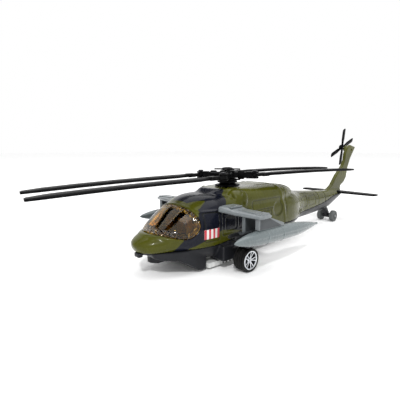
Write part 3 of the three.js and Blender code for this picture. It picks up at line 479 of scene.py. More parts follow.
def piece(name, part, material, body, nodes=(), bevel=0, place=None, crease=34, more=()):
    """Makes a piece of the toy from a part in millimetres and hangs it on its body.

    bevel rounds its sharp edges, place moves it first, and more holds further materials that
    faces can take."""
    points, faces = part if place is None else placed(part, place)
    mesh = bpy.data.meshes.new(name)
    mesh.from_pydata([ROW @ Vector(p) for p in points], [], [tuple(map(int, f)) for f in faces])
    mesh.validate()
    obj = bpy.data.objects.new(name, mesh)
    bpy.context.scene.collection.objects.link(obj)
    for entry in (material, *more):
        mesh.materials.append(entry)
    mesh.shade_smooth()
    mesh.set_sharp_from_angle(angle=math.radians(crease))
    if bevel:
        modifier = obj.modifiers.new("rounded_edges", "BEVEL")
        modifier.width = bevel * MM
        modifier.segments = 3
        modifier.limit_method = "ANGLE"
        modifier.angle_limit = math.radians(30)
        modifier.harden_normals = True
    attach(obj, body)
    if nodes:
        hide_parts(*([nodes] if isinstance(nodes, str) else nodes))
    return obj


def paint_map(obj, name, field):
    """Stores a field over the piece's points, in millimetres, for its material to read."""
    points = np.array([ROW.inverted() @ v.co for v in obj.data.vertices])
    attribute = obj.data.attributes.new(name, "FLOAT", "POINT")
    attribute.data.foreach_set("value", np.asarray(field(*points.T), np.float32))


# ------------------------------------------------------------------ materials


class Nodes:
    """A material's node tree, with short ways to add the nodes used here."""

    def __init__(self, name):
        self.material = bpy.data.materials.new(name)
        self.material.use_nodes = True
        self.tree = self.material.node_tree
        self.shader = self.tree.nodes["Principled BSDF"]
        self.place = self.add("ShaderNodeTexCoord").outputs["Object"]

    def add(self, kind, **inputs):
        node = self.tree.nodes.new(kind)
        for key, value in inputs.items():
            self.set(node.inputs[key], value)
        return node

    def set(self, socket, value):
        if isinstance(value, bpy.types.NodeSocket):
            self.tree.links.new(value, socket)
        else:
            socket.default_value = value

    def math(self, operation, a, b=0.0, clamp=False):
        node = self.tree.nodes.new("ShaderNodeMath")
        node.operation = operation
        node.use_clamp = clamp
        self.set(node.inputs[0], a)
        self.set(node.inputs[1], b)
        return node.outputs[0]

    def noise(self, scale, detail=3.0, stretch=(1, 1, 1)):
        mapping = self.add("ShaderNodeMapping", Vector=self.place, Scale=stretch)
        noise = self.add("ShaderNodeTexNoise", Vector=mapping.outputs[0], Scale=scale, Detail=detail,
                         Roughness=0.55)
        return noise.outputs["Fac"]

    def range(self, value, low, high, to_low=0.0, to_high=1.0):
        node = self.add("ShaderNodeMapRange", Value=value)
        for socket, number in zip(list(node.inputs)[1:5], (low, high, to_low, to_high)):
            self.set(socket, number)
        return node.outputs[0]

    def mix(self, share, a, b):
        node = self.tree.nodes.new("ShaderNodeMix")
        node.data_type = "RGBA"
        self.set(node.inputs["Factor"], share)
        self.set(node.inputs["A"], colour4(a))
        self.set(node.inputs["B"], colour4(b))
        return node.outputs["Result"]

    def attribute(self, name):
        node = self.tree.nodes.new("ShaderNodeAttribute")
        node.attribute_name = name
        return node.outputs["Fac"]

    def bump(self, height, strength, distance=0.0002, under=None):
        node = self.add("ShaderNodeBump", Height=height, Strength=strength, Distance=distance)
        if under is not None:
            self.set(node.inputs["Normal"], under)
        return node.outputs["Normal"]


def colour4(value):
    return value if isinstance(value, bpy.types.NodeSocket) else (*value[:3], 1.0)


def shade(colour, factor):
    return tuple(min(1.0, c * factor) for c in colour[:3])


def moulded(name, colour, roughness, variation=0.22, grain=0.12, metallic=0.0, coat=0.0, shine=0.3,
            wear=None):
    """Moulded plastic, rubber or metal: blotchy colour, a fine grained surface, handling
    scuffs that change its gloss, and a lighter tone worn onto its edges."""
    n = Nodes(name)
    blotches = n.noise(90, 4)
    tone = n.mix(n.range(blotches, 0.35, 0.68), shade(colour, 1 - variation), shade(colour, 1 + variation))
    edges = n.range(n.add("ShaderNodeNewGeometry").outputs["Pointiness"], 0.53, 0.62)
    worn = n.math("MULTIPLY", edges, n.range(n.noise(420, 2), 0.42, 0.62))
    tone = n.mix(n.math("MULTIPLY", worn, 0.45), tone, wear or shade(colour, 1.9))
    n.set(n.shader.inputs["Base Color"], tone)
    scratches = n.range(n.noise(700, 3, (1, 0.12, 1)), 0.5, 0.75)
    rough = n.range(n.noise(240, 4), 0.3, 0.7, roughness * 0.8, roughness * 1.2)
    scuffed = n.math("ADD", rough, n.math("MULTIPLY", scratches, SCUFF_ROUGHNESS), True)
    n.set(n.shader.inputs["Roughness"], scuffed)
    n.set(n.shader.inputs["Metallic"], metallic)
    n.set(n.shader.inputs["Specular IOR Level"], shine)
    n.set(n.shader.inputs["Coat Weight"], coat)
    n.set(n.shader.inputs["Coat Roughness"], 0.08)
    n.set(n.shader.inputs["Coat IOR"], 1.28)
    n.set(n.shader.inputs["Normal"], n.bump(n.noise(2600, 2), grain, 0.00012))
    return n.material


SCUFF_ROUGHNESS = 0.105
OLIVE = (0.051, 0.053, 0.004)
# NAVY_AND_WING_SHADOW is the navy paint, and also the stub wing's shadow painted on the cabin side.
NAVY_AND_WING_SHADOW = (0.0045, 0.0055, 0.011)
CHASSIS = (0.0105, 0.011, 0.0135)
# INSIDE_SHADE is painted shade: the near-black laid on the shell's inner walls.
INSIDE_SHADE = (0.006, 0.005, 0.004)


def glossy_paint(name, colours, fields):
    """Glossy paint over cast metal. colours[0] covers everything; each further colour lies
    where its stored field is negative. Panel lines are dark grooves."""
    n = Nodes(name)
    blotches = n.range(n.noise(60, 4), 0.35, 0.7)
    tone = n.mix(blotches, shade(colours[0], 0.82), shade(colours[0], 1.15))
    for colour, field in zip(colours[1:], fields):
        edge = n.math("ADD", n.attribute(field), n.range(n.noise(900, 2), 0.3, 0.7, -0.12, 0.12))
        covered = n.range(edge, -0.15, 0.15, 1.0, 0.0)
        tone = n.mix(covered, tone, n.mix(blotches, shade(colour, 0.8), shade(colour, 1.25)))
    lines = [n.math("ABSOLUTE", n.attribute(field)) for field in ("panels", "bands")]
    nearest = n.math("MINIMUM", *lines)
    line = n.range(nearest, 0.12, 0.42, 1.0, 0.0)
    tone = n.mix(n.math("MULTIPLY", line, 0.6), tone, (0.008, 0.009, 0.004))
    grime = n.math("MULTIPLY", n.range(nearest, 0.2, 1.6, 1.0, 0.0), n.range(n.noise(300, 3), 0.4, 0.7))
    tone = n.mix(n.math("MULTIPLY", grime, 0.25), tone, (0.02, 0.018, 0.01))
    edges = n.range(n.add("ShaderNodeNewGeometry").outputs["Pointiness"], 0.535, 0.6)
    chips = n.math("MULTIPLY", edges, n.range(n.noise(500, 3), 0.52, 0.66))
    away_from_lines = n.range(nearest, 0.8, 1.8)
    chipped = n.math("MULTIPLY", n.math("MULTIPLY", chips, away_from_lines), 0.2)
    tone = n.mix(chipped, tone, (0.2, 0.21, 0.12))
    n.set(n.shader.inputs["Base Color"], tone)
    n.set(n.shader.inputs["Roughness"], n.range(n.noise(200, 4), 0.3, 0.7, 0.2, 0.34))
    n.set(n.shader.inputs["Specular IOR Level"], 0.1)
    n.set(n.shader.inputs["Coat Weight"], 0.55)
    n.set(n.shader.inputs["Coat Roughness"], 0.05)
    n.set(n.shader.inputs["Coat IOR"], 1.2)
    orange_peel = n.bump(n.noise(500, 1), 0.03, 0.00006)
    n.set(n.shader.inputs["Normal"], n.bump(line, -0.6, 0.0002, orange_peel))
    return n.material


def amber_glass(name):
    """Clear amber plastic with a dimpled band along its border, and a little dirt."""
    n = Nodes(name)
    tone = n.mix(n.range(n.noise(120, 3), 0.35, 0.7), (0.62, 0.34, 0.05), (0.78, 0.48, 0.09))
    n.set(n.shader.inputs["Base Color"], tone)
    n.set(n.shader.inputs["Roughness"], n.range(n.noise(300, 4), 0.3, 0.75, 0.02, 0.1))
    n.set(n.shader.inputs["Transmission Weight"], 1.0)
    n.set(n.shader.inputs["IOR"], 1.46)
    band = n.range(n.attribute("border"), -3.4, -1.2)
    dimples = n.math("MULTIPLY", n.noise(520, 1), band)
    ripple = n.bump(n.noise(160, 2), 0.1, 0.0004)
    n.set(n.shader.inputs["Normal"], n.bump(dimples, 1.0, 0.0014, ripple))
    return n.material


def tyre_rubber(name):
    """Matt black rubber, dusty in patches, with fine moulding grain."""
    n = Nodes(name)
    dust = n.range(n.noise(350, 4), 0.45, 0.75)
    n.set(n.shader.inputs["Base Color"], n.mix(dust, (0.004, 0.004, 0.004), (0.014, 0.013, 0.012)))
    n.set(n.shader.inputs["Specular IOR Level"], 0.2)
    n.set(n.shader.inputs["Roughness"], n.range(dust, 0, 1, 0.55, 0.8))
    n.set(n.shader.inputs["Normal"], n.bump(n.noise(1800, 3), 0.25, 0.0002))
    return n.material


olive_paint = glossy_paint("olive_navy_and_shade_paint", [OLIVE, NAVY_AND_WING_SHADOW, INSIDE_SHADE], ["navy", "inside"])
chassis = moulded("chassis_plastic", CHASSIS, 0.34, coat=0.25, shine=0.12)
amber = amber_glass("amber_glass")
cockpit_plastic = moulded("cockpit_plastic", (0.01, 0.008, 0.006), 0.5)
cockpit_light = moulded("cockpit_light_plastic", (0.035, 0.028, 0.022), 0.45)
wing_grey = moulded("wing_grey_plastic", (0.12, 0.134, 0.141), 0.3, coat=0.5, variation=0.1)
wing_dark = moulded("wing_dark_plastic", (0.045, 0.05, 0.054), 0.36, coat=0.2, shine=0.15)
tank_grey = moulded("tank_grey_plastic", (0.115, 0.136, 0.14), 0.26, coat=0.5, variation=0.05)
motor_plastic = moulded("motor_plastic", (0.6, 0.61, 0.6), 0.35, variation=0.08)
gear_plastic = moulded("gear_plastic", (0.65, 0.62, 0.55), 0.4, variation=0.1)
rotor_black = moulded("rotor_black_plastic", (0.002, 0.002, 0.0023), 0.36, coat=0.05, shine=0.02,
                      wear=(0.02, 0.02, 0.02))
# Black plastic for missiles, dampers and wheel backs, also used as painted shade in screw recesses and plate
# slots.
black_plastic_and_shade = moulded("black_plastic_and_painted_shade", (0.006, 0.0065, 0.0075), 0.36, shine=0.15)
rubber = tyre_rubber("tyre_rubber")
chrome = moulded("chrome_plating", (0.62, 0.64, 0.67), 0.12, metallic=1.0, variation=0.08, grain=0.04)
steel = moulded("steel", (0.42, 0.43, 0.45), 0.3, metallic=1.0, variation=0.12)
blackened_steel = moulded("blackened_steel", (0.02, 0.02, 0.022), 0.35, metallic=1.0)
spring_steel = moulded("spring_steel", (0.2, 0.21, 0.24), 0.35, metallic=1.0)
tail_wheel_grey = moulded("tail_wheel_plastic", (0.085, 0.092, 0.092), 0.5)
decal_red = moulded("decal_red", (0.42, 0.03, 0.045), 0.3, grain=0.05)
decal_white = moulded("decal_white", (0.62, 0.6, 0.58), 0.3, grain=0.05)

# ------------------------------------------------------------------ fuselage

STRIPE = [[-31, 14], [-30.3, 16], [-18.5, 20.6], [-9, 23.8], [-2, 23], [6, 21.2], [16, 20.6], [16, 14]]
PILLAR = [[-30, 44], [-14.5, 44], [-14.5, 41], [-22.2, 36.5], [-25.2, 31.5], [-27, 31.5]]


def navy_and_wing_shadow_field(x, y, z):
    """Negative where navy lies: navy paint on the roof's front and cabin sides, and painted wing shadow
    under the wing.

    The nose, a pillar behind the windscreen, a stripe along the bottom edge and everything
    behind the rotor stay olive."""
    front = -39 + 0.64 * (z - 15.1)
    # Below the wing root (z under 34) the navy reaches back to y = 9: this part is painted shadow of the
    # stub wing.
    rear = np.where(z > 34, -2 + 0.9 * (z - 39.5), 9)
    side = np.maximum(front - y, y - rear)
    stripe = outline_distance(np.array(STRIPE, float), y, z)
    pillar = np.maximum(outline_distance(np.array(PILLAR, float), y, z), 6 + 0.8 * (y + 24) - np.abs(x))
    return np.maximum(np.maximum(side, -stripe), -pillar)


def inside_shade_field(x, y, z):
    """Negative on the walls of the hollow inside, which are painted near-black: painted shade for the dark
    inside the shell.
    """
    return hull(x, y, z) + 1.1


def fuselage():
    upper = piece("upper_body", surface_net(upper_body, (-22, -57, 14), (22, 214, 75), BODY_MESH_STEP),
                  olive_paint, "airframe", "upper_shell", crease=60)
    for name, field in (("navy", navy_and_wing_shadow_field), ("inside", inside_shade_field), ("panels", panel_field),
                        ("bands", band_field)):
        paint_map(upper, name, field)
    piece("lower_body", surface_net(lower_body, (-37, -57, 0), (37, 188, 27), BODY_MESH_STEP), chassis,
          "airframe", "lower_chassis", crease=60)
    glass = piece("canopy_glass", surface_net(windscreen, (-22, -57, 18), (22, -20, 45), GLASS_MESH_STEP),
                  amber, "airframe", "windshield", crease=60)
    paint_map(glass, "border", lambda x, y, z: outline_distance(WINDSCREEN_CURVE, y, z))


fuselage()

# ------------------------------------------------------------------ cockpit


def cockpit():
    """Dark tub with two seats, a dash with a hood, a console and two sticks, seen through amber."""
    tub = [block((-8.6, -41, 15.7), (8.6, -24, 17.2)), block((-8, -41, 17), (8, -38.6, 21.2)),
           side_plate([[-41, 21], [-37.4, 20.4], [-37, 21.8], [-39.4, 22.8], [-41, 22.6]], -8, 8),
           block((-1.6, -38.8, 17), (1.6, -27, 20.4))]
    piece("cockpit_tub", joined(tub), cockpit_plastic, "airframe", "cockpit_interior",
          bevel=0.35)
    for side, name in ((1, "left"), (-1, "right")):
        back = [[-27.6, 20.4], [-25.9, 20.2], [-25, 27.4], [-25.2, 30.4], [-26.8, 30.6], [-27.2, 27.6]]
        seat = [block((-3.3, -34, 17.8), (3.3, -26, 20.6)), side_plate(back, -3.1, 3.1),
                block((-3.6, -32.5, 20.2), (-2.9, -26.5, 22)), block((2.9, -32.5, 20.2), (3.6, -26.5, 22))]
        place = Matrix.Translation((side * 5.5, 0, 0))
        piece(name + "_seat", joined(seat), cockpit_light, "airframe", bevel=0.45,
              place=place)
        grip = lathe([[0, 0], [0.7, 0.2], [0.28, 0.9], [0.28, 4.6], [0.55, 5], [0.5, 6.2], [0, 6.4]], 16)
        lean = place @ Matrix.Translation((0, -35.4, 17)) @ Matrix.Rotation(math.radians(-8), 4, "X")
        piece(name + "_stick", grip, cockpit_plastic, "airframe", place=lean)


# ------------------------------------------------------------------ pull-back motor and screws


def motor():
    """The plate under the belly, with its moulded rim, and black blocks of painted shade for its slots; the
    works above it keep their shape.
    """
    low, high = [ROW.inverted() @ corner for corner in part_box("base_plate")]
    parts = [block((low.x, low.y, low.z + 0.35), (high.x, high.y, high.z)),
             block((low.x + 1.6, low.y + 1.6, low.z), (high.x - 1.6, high.y - 1.6, low.z + 0.5))]
    piece("motor_plate", joined(parts), motor_plastic, "airframe", "base_plate", bevel=0.3)
    # The slots are not cut: thin black blocks on the plate's sides stand for them, their black being painted
    # shade in the openings.
    slots = [block((side * high.x - 0.15, y, low.z + 0.6), (side * high.x + 0.15, y + 1.1, high.z - 0.35))
             for side in (-1, 1) for y in (-5, -2, 1, 4)]
    ribs = [block((-11, y, low.z - 0.12), (11, y + 0.9, low.z + 0.2)) for y in (-11.5, -8, 8, 11.5)]
    piece("plate_slots", joined(slots + ribs), black_plastic_and_shade, "airframe", bevel=0.1)
    for node in ("motor_housing", "motor_lid"):
        finish_node(node, motor_plastic, 0.3)
    for node in ("axle_gear", "idler_gear", "winding_gear"):
        finish_node(node, gear_plastic, 0.08)
    for node in ("idler_pin", "winding_pin", "main_axle", "tail_axle", "mast_clip", "tail_rotor_shaft",
                 "rotor_mast"):
        finish_node(node, steel, 0.15)
    finish_node("mainspring", spring_steel, 0.05)


def finish_node(node, material, bevel):
    """Gives a CAD node its material and rounds its edges."""
    obj = frame["nodes"][node]
    obj.data.materials.clear()
    obj.data.materials.append(material)
    modifier = obj.modifiers.new("rounded_edges", "BEVEL")
    modifier.width = bevel * MM
    modifier.segments = 2
    modifier.limit_method = "ANGLE"
    modifier.angle_limit = math.radians(40)


def screws():
    """Cross-head screws, seen from below."""
    for node in ("front_screw", "middle_screw", "rear_screw"):
        low, high = [ROW.inverted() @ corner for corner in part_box(node)]
        y = (low.y + high.y) / 2
        head = [[0, low.z + 0.3], [0.9, low.z], [1.6, low.z + 0.15], [1.9, low.z + 0.7], [1.9, low.z + 1.2],
                [0.95, low.z + 1.2]]
        turns = range(1, int((high.z - low.z - 2) / 0.3))
        thread = [[0.95 - 0.2 * (k % 2), low.z + 1.2 + 0.3 * k] for k in turns]
        body = lathe([*head, *thread, [0.4, high.z - 0.3], [0, high.z]], 24)
        # The cross recess is not cut: two black bars stand in the head, their black being painted shade in
        # the recess.
        cross = [block((-1.1, -0.22, low.z - 0.02), (1.1, 0.22, low.z + 0.25)),
                 block((-0.22, -1.1, low.z - 0.02), (0.22, 1.1, low.z + 0.25))]
        place = Matrix.Translation((0, y, 0))
        piece(node + "_body", body, steel, "airframe", node, place=place)
        piece(node + "_recess_shade", joined(cross), black_plastic_and_shade, "airframe", place=place)


# ------------------------------------------------------------------ wheels

WHEEL = {"radius": 7, "inner": 27.6, "outer": 35.6, "rim": 5.9}
SPOKES = 5


def rounded_bar(start, end, width, height):
    """A bar between two points, flat on top, for spokes and links."""
    start, end = Vector(start), Vector(end)
    way = (end - start).normalized()
    across = way.cross(Vector((0, 0, 1))).normalized() * width / 2
    up = Vector((0, 0, height / 2))
    corners = [-across - up, across - up, across * 0.75 + up, -across * 0.75 + up]
    return loft([[start + c for c in corners], [end + c for c in corners]][::-1])


def wheel_rim():
    """Rim turned about Z, outer face up: a lip, a dished barrel, a hub and five split spokes."""
    radius, face = WHEEL["rim"] - 0.15, WHEEL["outer"] - 0.25
    barrel = lathe([[radius, WHEEL["inner"] + 0.4], [radius, face - 0.3], [radius - 0.25, face],
                    [radius - 0.75, face], [radius - 1, face - 0.35], [radius - 1.15, face - 2.4],
                    [radius - 0.9, WHEEL["inner"] + 0.4]], 64, closed=True)
    hub = lathe([[0, face - 3], [1.7, face - 3], [1.75, face - 1.1], [1.3, face - 0.75], [0.8, face - 0.7],
                 [0.7, face - 0.95], [0, face - 0.95]], 40)
    parts = [barrel, hub]
    for k in range(SPOKES):
        middle = 2 * math.pi * (k + 0.25) / SPOKES
        for side in (-1, 1):
            inner, outer = middle + side * 0.16, middle + side * 0.24
            fork = [1.3 * math.cos(inner), 1.3 * math.sin(inner), face - 1.05]
            reach = radius - 0.7
            edge = [reach * math.cos(outer), reach * math.sin(outer), face - 0.45]
            parts.append(rounded_bar(fork, edge, 0.72, 0.7))
    return joined(parts)


def tyre(radius, inner, outer, seat):
    """A tyre turned about Z, with four grooves round its tread and bevelled edges."""
    tread = []
    width = outer - inner
    for k in range(4):
        middle = inner + width * (0.2 + 0.2 * k)
        tread += [[radius, middle - 0.3], [radius - 0.35, middle - 0.2], [radius - 0.35, middle + 0.2],
                  [radius, middle + 0.3]]
    wall = [[seat, outer - 0.5], [seat + 0.3, outer - 0.15], [radius - 0.55, outer],
            [radius - 0.12, outer - 0.35]]
    other = [[r, inner + outer - h] for r, h in wall][::-1]
    return lathe([*other, *tread, *wall[::-1]], 64, closed=True)


def main_wheels():
    for name, side in SIDES:
        place = Matrix.Translation((0, 0, AXLE["z"])) @ side @ ALONG_X
        piece(name + "_tyre_tread", tyre(WHEEL["radius"], WHEEL["inner"], WHEEL["outer"], WHEEL["rim"]),
              rubber, "main_wheels", name + "_tyre", place=place)
        piece(name + "_wheel_rim", wheel_rim(), chrome, "main_wheels", name + "_rim",
              place=place, bevel=0.1)
        back = lathe([[0.9, WHEEL["outer"] - 3.6], [4.7, WHEEL["outer"] - 3.6], [4.7, WHEEL["outer"] - 4.2],
                      [0.9, WHEEL["outer"] - 4.2]], 40, closed=True)
        piece(name + "_wheel_back", back, black_plastic_and_shade, "main_wheels", place=place)


TAIL_WHEEL = {"radius": 5.3, "y": 161, "inner": 4.2, "outer": 8}


def tail_gear():
    """The leg under the boom, with a fork round the axle, and two one-piece wheels."""
    leg = [[153, 13], [157.6, 13.6], [159.6, 11], [162.8, 6.6], [162.2, 3.9], [160.4, 3.3], [158.8, 4.6],
           [156, 8.6]]
    parts = [side_plate(rounded_outline(leg[::-1], 3), -1.5, 1.5),
             placed(lathe([[0, -3.7], [1.7, -3.7], [2.1, -3.3], [2.1, 3.3], [1.7, 3.7], [0, 3.7]], 32),
                    Matrix.Translation((0, TAIL_WHEEL["y"], TAIL_WHEEL["radius"])) @ ALONG_X),
             placed(lathe([[0, 12.6], [2, 12.6], [2, 17], [0, 17]], 24), Matrix.Translation((0, 155, 0)))]
    piece("tail_leg", joined(parts), chassis, "airframe", "tail_strut", bevel=0.35)
    inner, outer = TAIL_WHEEL["inner"], TAIL_WHEEL["outer"]
    wheel = [[0.9, inner], [4.6, inner], [5.1, inner + 0.3], [5.3, inner + 1.1], [5.3, outer - 1.1],
             [5.1, outer - 0.3], [4.6, outer], [3.6, outer], [3.3, outer - 0.5], [1.9, outer - 0.6],
             [1.6, outer - 0.1], [0.9, outer]]
    for name, side in SIDES:
        place = Matrix.Translation((0, TAIL_WHEEL["y"], TAIL_WHEEL["radius"])) @ side @ ALONG_X
        piece(name + "_rear_wheel", lathe(wheel, 56, closed=True), tail_wheel_grey, "tail_wheels",
              name + "_tail_wheel", place=place)


# ------------------------------------------------------------------ stub wings and stores

WING_SECTIONS = [[20.6, -12, 4, 34, 38], [24.5, -11.4, 3.9, 33.8, 37.6], [28.2, -10.2, 3.7, 33.5, 36.6],
                 [29.4, -10, 3.6, 33.4, 36.1], [38, -8.6, 3.1, 33.3, 35.9], [46.2, -7.3, 2.7, 33.2, 35.6],
                 [46.9, -6.6, 2.2, 33.6, 35.2]]
INBOARD_X = 34.2
OUTBOARD_X = 43.7
TANK_PROFILE = [[0, 0], [0.7, 1.1], [1.5, 3], [2.7, 8], [3.6, 14], [4.1, 20], [4.3, 27], [4.3, 48],
                [4.15, 54], [3.7, 60], [2.7, 68.5], [1.5, 76], [0.9, 78.5], [0.7, 82], [0, 82.7]]
TANK_NOSE = (-24.2, 23.4)
TANK_DROP = 2.2  # how much lower the tail is than the nose
TANK_DROP_PER_DEGREE = 1.45


def wing_ring(x, front, rear, bottom, top):
    """A squarish section with a round nose and a thinner rear edge."""
    middle, half = (bottom + top) / 2, (top - bottom) / 2
    chord = rear - front
    ring = []
    for k in range(20):
        angle = 2 * math.pi * (k + 0.5) / 20
        c, s = math.cos(angle), math.sin(angle)
        along = math.copysign(abs(c) ** 0.42, c)
        up = math.copysign(abs(s) ** 0.5, s) * (1 - 0.35 * max(0, along) ** 3)
        ring.append([x, (front + rear) / 2 + along * chord / 2, middle + up * half])
    return ring


def wings():
    for name, place in SIDES:
        wing = loft([wing_ring(*section) for section in WING_SECTIONS])
        piece(name + "_wing", wing, wing_grey, "airframe", name + "_stub_wing", place=place,
              crease=50)
        raised = [block((30.4, -5.6, 35.4), (41.5, 0.6, 36.35)),
                  block((41.9, -6.2, 34.8), (46.2, 1.4, 36.25)),
                  block((22.4, -8.6, 37), (27.4, 1, 37.95))]
        piece(name + "_wing_cover", joined(raised), wing_grey, "airframe", place=place,
              bevel=0.4)


def pylon(outline, half, recess, x):
    """A pylon plate with a raised rim at its front and a darker panel let into each face."""
    body = side_plate(outline, x - half, x + half)
    panels = [side_plate(recess, x + face - 0.12, x + face + 0.12) for face in (-half, half)]
    return body, joined(panels)


def stores():
    outboard = [[-6.3, 33.4], [-6.3, 27.2], [17.5, 26.4], [17.5, 28.2], [3, 33.4]][::-1]
    inboard = [[-6.3, 33.4], [-6.3, 24.4], [11, 24.4], [9.5, 28], [2.5, 33.4]][::-1]
    outer_panel = [[-5.2, 33], [-5.2, 27.6], [15, 27], [2.8, 33]][::-1]
    inner_panel = [[-5.2, 33], [-5.2, 24.9], [10, 24.9], [9, 27.8], [2.3, 33]][::-1]
    for name, place in SIDES:
        for row, outline, panel, half, x in (("_outboard_pylon", outboard, outer_panel, 1.3, OUTBOARD_X),
                                             ("_inboard_pylon", inboard, inner_panel, 1, INBOARD_X)):
            body, recess = pylon(outline, half, panel, x)
            piece(name + row + "_body", body, wing_grey, "airframe", name + row, place=place,
                  bevel=0.35)
            piece(name + row + "_panel", recess, wing_dark, "airframe", place=place,
                  bevel=0.08)
        fuel_tank(name, place)
        missile_rack(name, place)


def fuel_tank(name, place):
    """A pointed tank in two halves, with the seam along its side and a thin tail spike."""
    radius = smooth_line([[h, r] for r, h in TANK_PROFILE])
    heights = np.concatenate([np.linspace(0, 3, 7), np.linspace(4.5, 76, 34), np.linspace(77, 82.7, 7)])
    angles = np.arange(72) * 2 * math.pi / 72
    seam = 1 - 0.07 * np.exp(-((np.sin(angles) / 0.09) ** 2))
    rings = [np.column_stack([max(radius(h), 0.02) * seam * np.cos(angles), np.full(72, h),
                              max(radius(h), 0.02) * seam * np.sin(angles)])[::-1] for h in heights]
    lean = (place @ Matrix.Translation((OUTBOARD_X, *TANK_NOSE))
            @ Matrix.Rotation(math.radians(-TANK_DROP / TANK_DROP_PER_DEGREE), 4, "X"))
    piece(name + "_tank", loft(rings), tank_grey, "airframe", name + "_fuel_tank",
          place=lean, crease=60)
    straps = []
    for h in (24, 38):
        strap = [[radius(h) - 0.2, -0.5], [radius(h) + 0.12, -0.42], [radius(h) + 0.12, 0.42],
                 [radius(h) - 0.2, 0.5]]
        straps.append(placed(lathe(strap, 72, closed=True), Matrix.Translation((0, h, 0)) @ ALONG_Y))
    piece(name + "_tank_bands", joined(straps), tank_grey, "airframe", place=lean)


def missile_rack(name, place):
    """A rail with two finned missiles moulded to it."""
    rail = [block((-2, -8, 23.2), (2, 13.6, 24.5)), block((-0.7, -6, 24.2), (0.7, 11, 25))]
    profile = [[0, -16], [0.55, -15.7], [0.95, -15], [1.22, -13.8], [1.3, -12.4], [1.3, 13.4],
               [1.05, 14.6], [0, 14.8]]
    missiles = []
    for x in (-2.4, 2.4):
        at = Matrix.Translation((x, 0, 22.9))
        missiles.append(placed(lathe(profile, 32), at @ ALONG_Y))
        for k, (front, rear, span) in itertools.product(range(4), ((-6, -3.5, 2.1), (9.5, 13.6, 2.3))):
            outline = [[front + 1.2, span], [front, 1.1], [rear, 1.1], [rear, span]][::-1]
            fin = side_plate(outline, -0.16, 0.16)
            missiles.append(placed(fin, at @ Matrix.Rotation(math.radians(45 + 90 * k), 4, "Y")))
    there = place @ Matrix.Translation((INBOARD_X, 0, 0))
    piece(name + "_rail", joined(rail), wing_dark, "airframe", place=there, bevel=0.2)
    piece(name + "_missiles", joined(missiles), black_plastic_and_shade, "airframe", name + "_missile_rack",
          place=there)


# ------------------------------------------------------------------ tailplane


def stabilator():
    """The tailplane: a thin wing through the foot of the fin, with round tips."""
    middle = (STABILATOR["bottom"] + STABILATOR["top"]) / 2
    sections = []
    for x in np.concatenate([np.linspace(0, 34, 12), [35.8, 37, 37.5]]):
        share = x / STABILATOR["half_span"]
        tip = math.sqrt(max(0.02, 1 - max(0, (x - 34.4) / 3.15) ** 2))
        front, rear = 172 + 2.6 * share, 190 - 3 * share
        centre = (front + rear) / 2
        half = 1.25 - 0.2 * share
        sections.append([x, centre - (centre - front) * tip, centre + (rear - centre) * tip,
                         half * (0.4 + 0.6 * tip)])
    rings = []
    for x, front, rear, half in [[-x, *rest] for x, *rest in sections[:0:-1]] + sections:
        rings.append([[x, y, middle + dz * half] for y, dz in foil(front, rear)])
    piece("stabilator_plane", loft(rings), rotor_black, "airframe", "stabilator", crease=50)


def foil(front, rear, count=24):
    """Places round a smooth wing section: [chordwise place, height as a share of the thickness]."""
    ring = []
    for k in range(count):
        angle = 2 * math.pi * (k + 0.5) / count
        along = (1 + math.cos(angle)) / 2
        height = math.copysign(abs(math.sin(angle)) ** 0.55, math.sin(angle)) * (1 - 0.5 * along**2)
        ring.append([front + along * (rear - front), height])
    return ring


# ------------------------------------------------------------------ main rotor


MAST = ROW.inverted() @ Vector(JOINTS["main_rotor_spin"]["pos_m"])
MAST_LEAN = math.atan2(-JOINTS["main_rotor_spin"]["axis"][1], JOINTS["main_rotor_spin"]["axis"][2])
ROTOR = Matrix.Translation(MAST) @ Matrix.Rotation(MAST_LEAN, 4, "X")
BLADE_LEVEL = 7.5
BLADE = {"length": 108, "chord": 9.4, "thickness": 1.8, "droop": 2.3}
FOLD_HEADING = -100
HEADINGS = {1: FOLD_HEADING, 2: FOLD_HEADING + 180, 3: FOLD_HEADING + 180, 4: FOLD_HEADING}
ARM_ANGLES = {1: -55, 2: 35, 3: 125, 4: -145}


def turned_z(degrees):
    return Matrix.Rotation(math.radians(degrees), 4, "Z")


def mast_parts():
    collar = [[1.8, -1.5], [3.3, -1.5], [3.3, 0.5], [8.2, 0.5], [8.4, 0.75], [8.1, 1.2], [6, 1.5],
              [5.2, 2.1], [4.2, 2.4], [1.8, 2.4]]
    piece("mast_boot", lathe(collar, 56, closed=True), rotor_black, "airframe", "mast_collar",
          place=ROTOR)
    ring = [[1.8, 2.7], [6.2, 2.7], [6.6, 2.9], [6.6, 3.5], [6.3, 3.7], [1.8, 3.7]]
    piece("fixed_swash_ring", lathe(ring, 56, closed=True), rotor_black, "airframe", "lower_swashplate",
          place=ROTOR)
    upper = [lathe([[1.8, 4], [5.9, 4], [6.2, 4.2], [6.2, 4.8], [5.8, 5], [1.8, 5]], 56, closed=True)]
    links = []
    for angle in ARM_ANGLES.values():
        upper.append(placed(block((5, -1, 4), (8.6, 1, 5)), turned_z(angle)))
        link = [block((7.3, -0.35, 4.9), (8.1, 0.35, 5.5)), block((7.2, 0.9, 4.9), (8, 1.6, 5.6))]
        links += [placed(part, turned_z(angle)) for part in link]
    piece("turning_swash_ring", joined(upper), rotor_black, "main_rotor", "upper_swashplate",
          place=ROTOR, bevel=0.15)
    piece("pitch_links", joined(links), steel, "main_rotor", place=ROTOR, bevel=0.1)


FORK = {"pin": 18, "radius": 2.6, "mouth": 2.85, "half_width": 2.3, "plate": 0.9}


def fork_arc(radius, start, end, count):
    """Points round a blade's fold pin, as seen from above the arm that holds it."""
    turns = np.linspace(start, end, count)
    return [[FORK["pin"] + radius * math.cos(t), radius * math.sin(t)] for t in turns]


